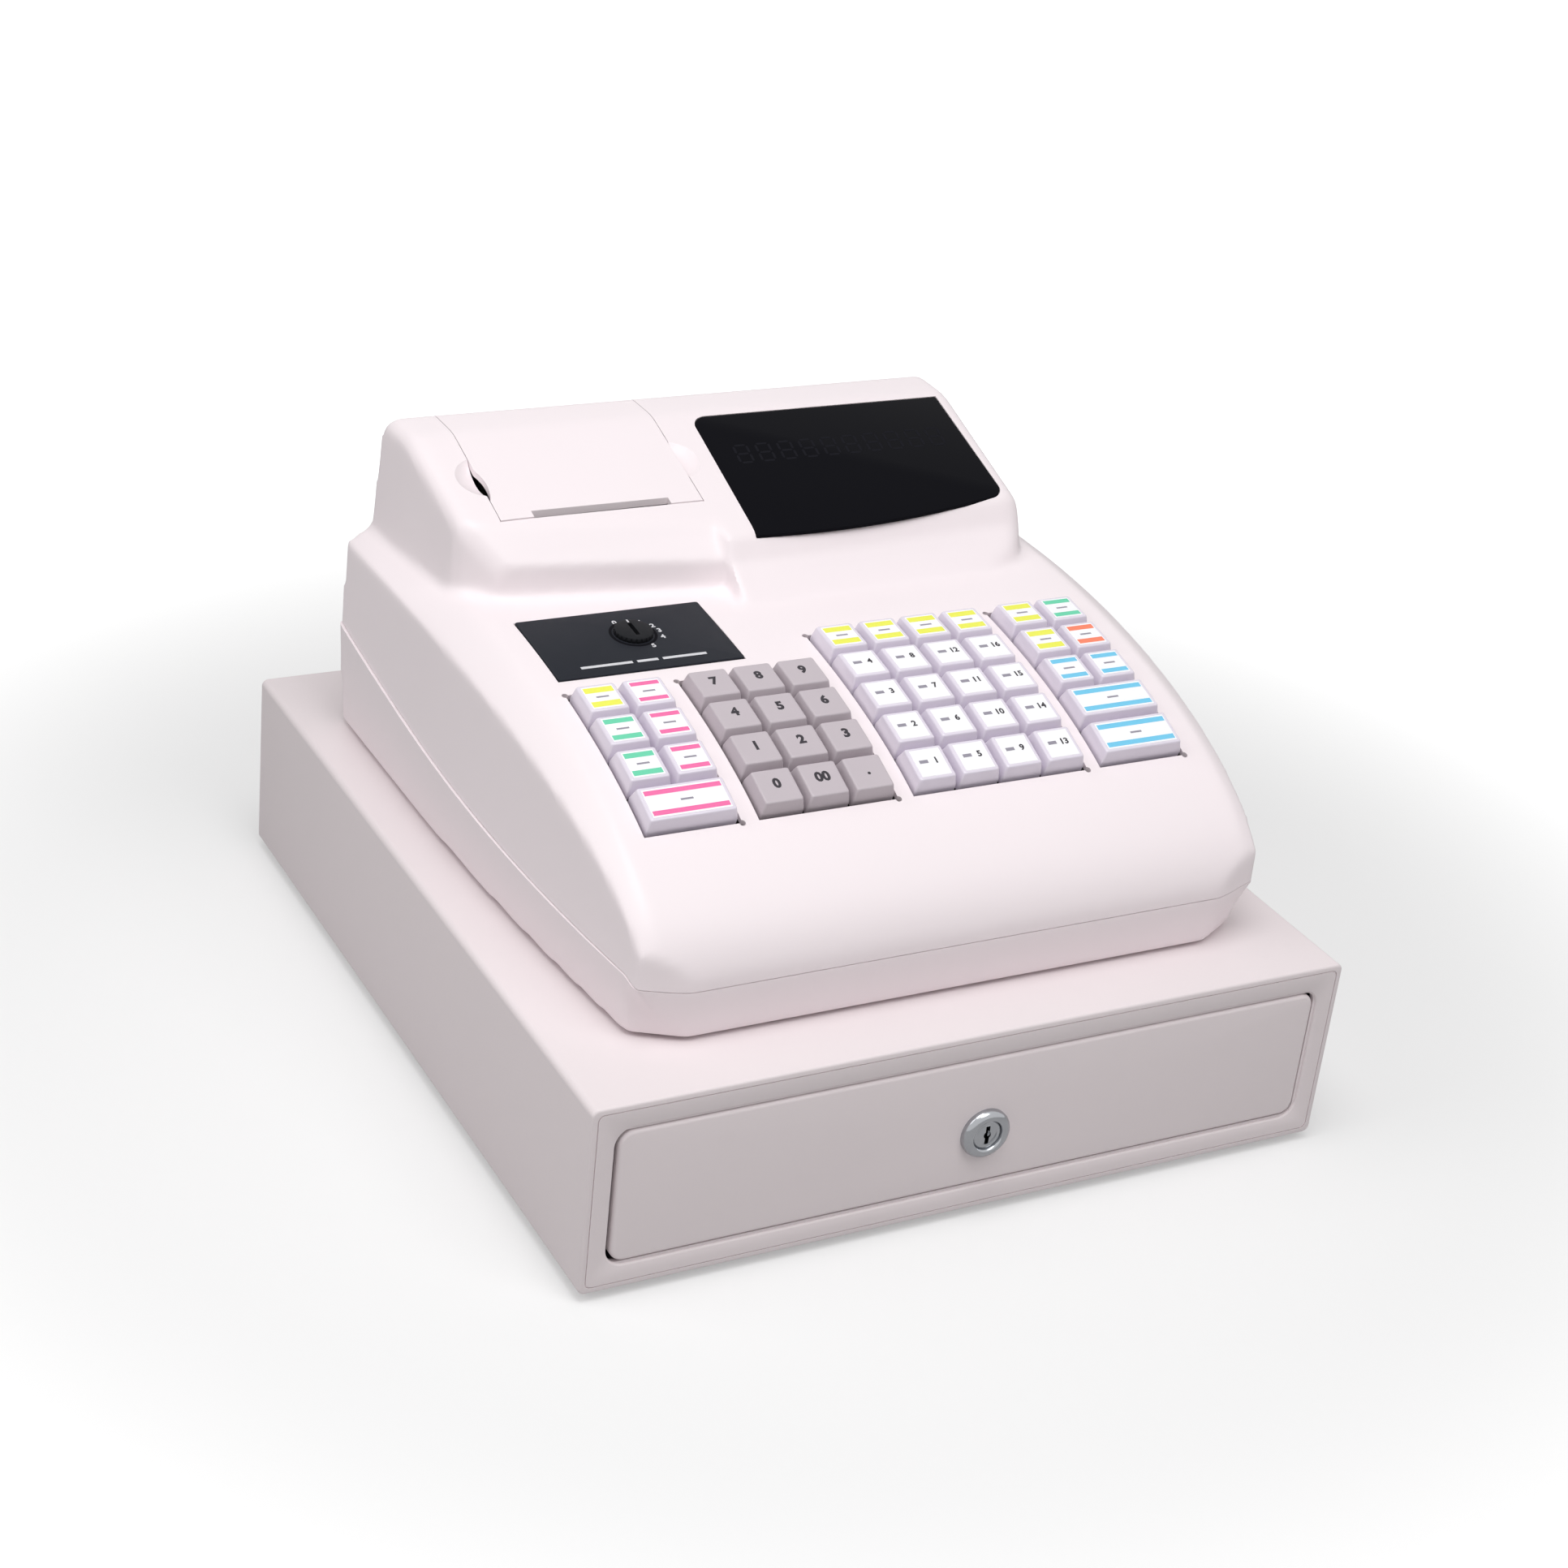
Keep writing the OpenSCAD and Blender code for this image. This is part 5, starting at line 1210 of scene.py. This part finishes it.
def fittings():
    """Guide plate, transformer, mains inlet and case screws."""
    dressed("keyboard_frame", 0.3, "key_guide_plate", "case", "black_plastic", grey_plastic, segments=1)
    low, high = node_box("power_unit")
    dressed("power_unit", 0.5, "mains_transformer", "case", "transformer_steel", iron, copper,
            choose=lambda at: at.y < low.y + 7.9 or at.y > high.y - 7.9)
    near, far = node_box("power_inlet")
    middle = (near + far) / 2
    dressed("power_inlet", 0.3, "mains_inlet", "case", "black_plastic", black_plastic, zinc,
            choose=lambda at: (at.y < far.y - 6 and abs(abs(at.x - middle.x) - 4.2) < 1.3
                               and abs(at.z - middle.z) < 1.3 and at.y > near.y + 4.1))
    dressed("case_screws", 0.25, "seam_screws", "case", "zinc_steel", zinc)


# ---- camera, light and floor ----

ambient = 0.28
# each lamp's name, place, width and power
LAMPS = (
    ("overhead lamp", (-0.34, -0.4, 1.65), 0.9, 10.9),
    ("left lamp", (-1.3, 0.1, 1.3), 1.2, 6.4),
    ("front lamp", (0.2, -1.0, 1.5), 1.0, 7.5),
)
# the floor is lifted for the camera alone, more so from pale_from to pale_to metres away from the middle
floor_lift = 0.33
pale_from = 0.3
pale_to = 0.75


def studio():
    """A soft lamp overhead and weaker ones at the sides, and a white backdrop."""
    world = bpy.data.worlds.new("studio")
    bpy.context.scene.world = world
    world.use_nodes = True
    tree = world.node_tree
    path = add_node(tree, "LightPath", {}).outputs
    seen = add_node(tree, "Math", {0: path["Is Camera Ray"], 1: path["Is Transmission Ray"]}, operation="MAXIMUM")
    shown = add_node(tree, "Math", {0: seen.outputs[0], 1: path["Is Glossy Ray"]}, operation="MAXIMUM")
    strength = add_node(tree, "MapRange", {"Value": shown.outputs[0], "To Min": ambient, "To Max": 1.0})
    set_inputs(tree.nodes["Background"], {"Color": (1, 1, 1, 1), "Strength": strength.outputs["Result"]})
    for name, place, size, energy in LAMPS:
        lamp = bpy.data.lights.new(name, "AREA")
        lamp.shape = "DISK"
        lamp.size = size
        lamp.energy = energy
        holder = in_scene(name, lamp)
        holder.location = place
        holder.rotation_euler = (Vector(place) - Vector((0, 0, 0.1))).to_track_quat("Z", "Y").to_euler()


def floor():
    bpy.ops.mesh.primitive_plane_add(size=12, location=(0, 0, 0))
    plane = newest("floor")
    material = bpy.data.materials.new("pale floor")
    material.use_nodes = True
    tree = material.node_tree
    path = add_node(tree, "LightPath", {})
    place = add_node(tree, "TexCoord", {})
    distance = add_node(tree, "VectorMath", {0: place.outputs["Object"]}, operation="LENGTH")
    paler = add_node(tree, "MapRange", {"Value": distance.outputs["Value"], "From Min": pale_from,
                                        "From Max": pale_to, "To Min": floor_lift, "To Max": 1.0},
                     interpolation_type="SMOOTHSTEP")
    lift = add_node(tree, "Math", {0: path.outputs["Is Camera Ray"], 1: paler.outputs["Result"]},
                    operation="MULTIPLY")
    set_inputs(tree.nodes["Principled BSDF"], {
        "Base Color": (0.6, 0.6, 0.6, 1), "Roughness": 0.9, "Specular IOR Level": 0.1,
        "Emission Color": (1, 1, 1, 1), "Emission Strength": lift.outputs[0]})
    plane.data.materials.append(material)


def camera():
    """Looks down on the register's front left corner."""
    data = bpy.data.cameras.new("camera")
    data.lens = 69.0
    data.sensor_width = 36
    view = in_scene("camera", data)
    azimuth, elevation, roll = radians(-30.12), radians(27.09), radians(6.34)
    back = Vector((sin(azimuth) * cos(elevation), -cos(azimuth) * cos(elevation), sin(elevation)))
    turn = back.to_track_quat("Z", "Y").to_matrix().to_4x4() @ Matrix.Rotation(roll, 4, "Z")
    view.matrix_world = Matrix.Translation((-0.55975, -0.96817, 0.67147)) @ turn
    bpy.context.scene.camera = view


camera()
studio()
floor()
outer = till_form()
lid_form = copied(outer, "lid_form")
upper_case(outer)
printer_cover(lid_form)
base_case()
drawer_case()
drawer_panel()
lock()
feet()
wheels()
drawer_inside()
printer()
windows()
mode_lock()
digit_keys()
function_keys()
department_keys()
boards()
fittings()

bpy.context.scene.view_settings.view_transform = "Standard"
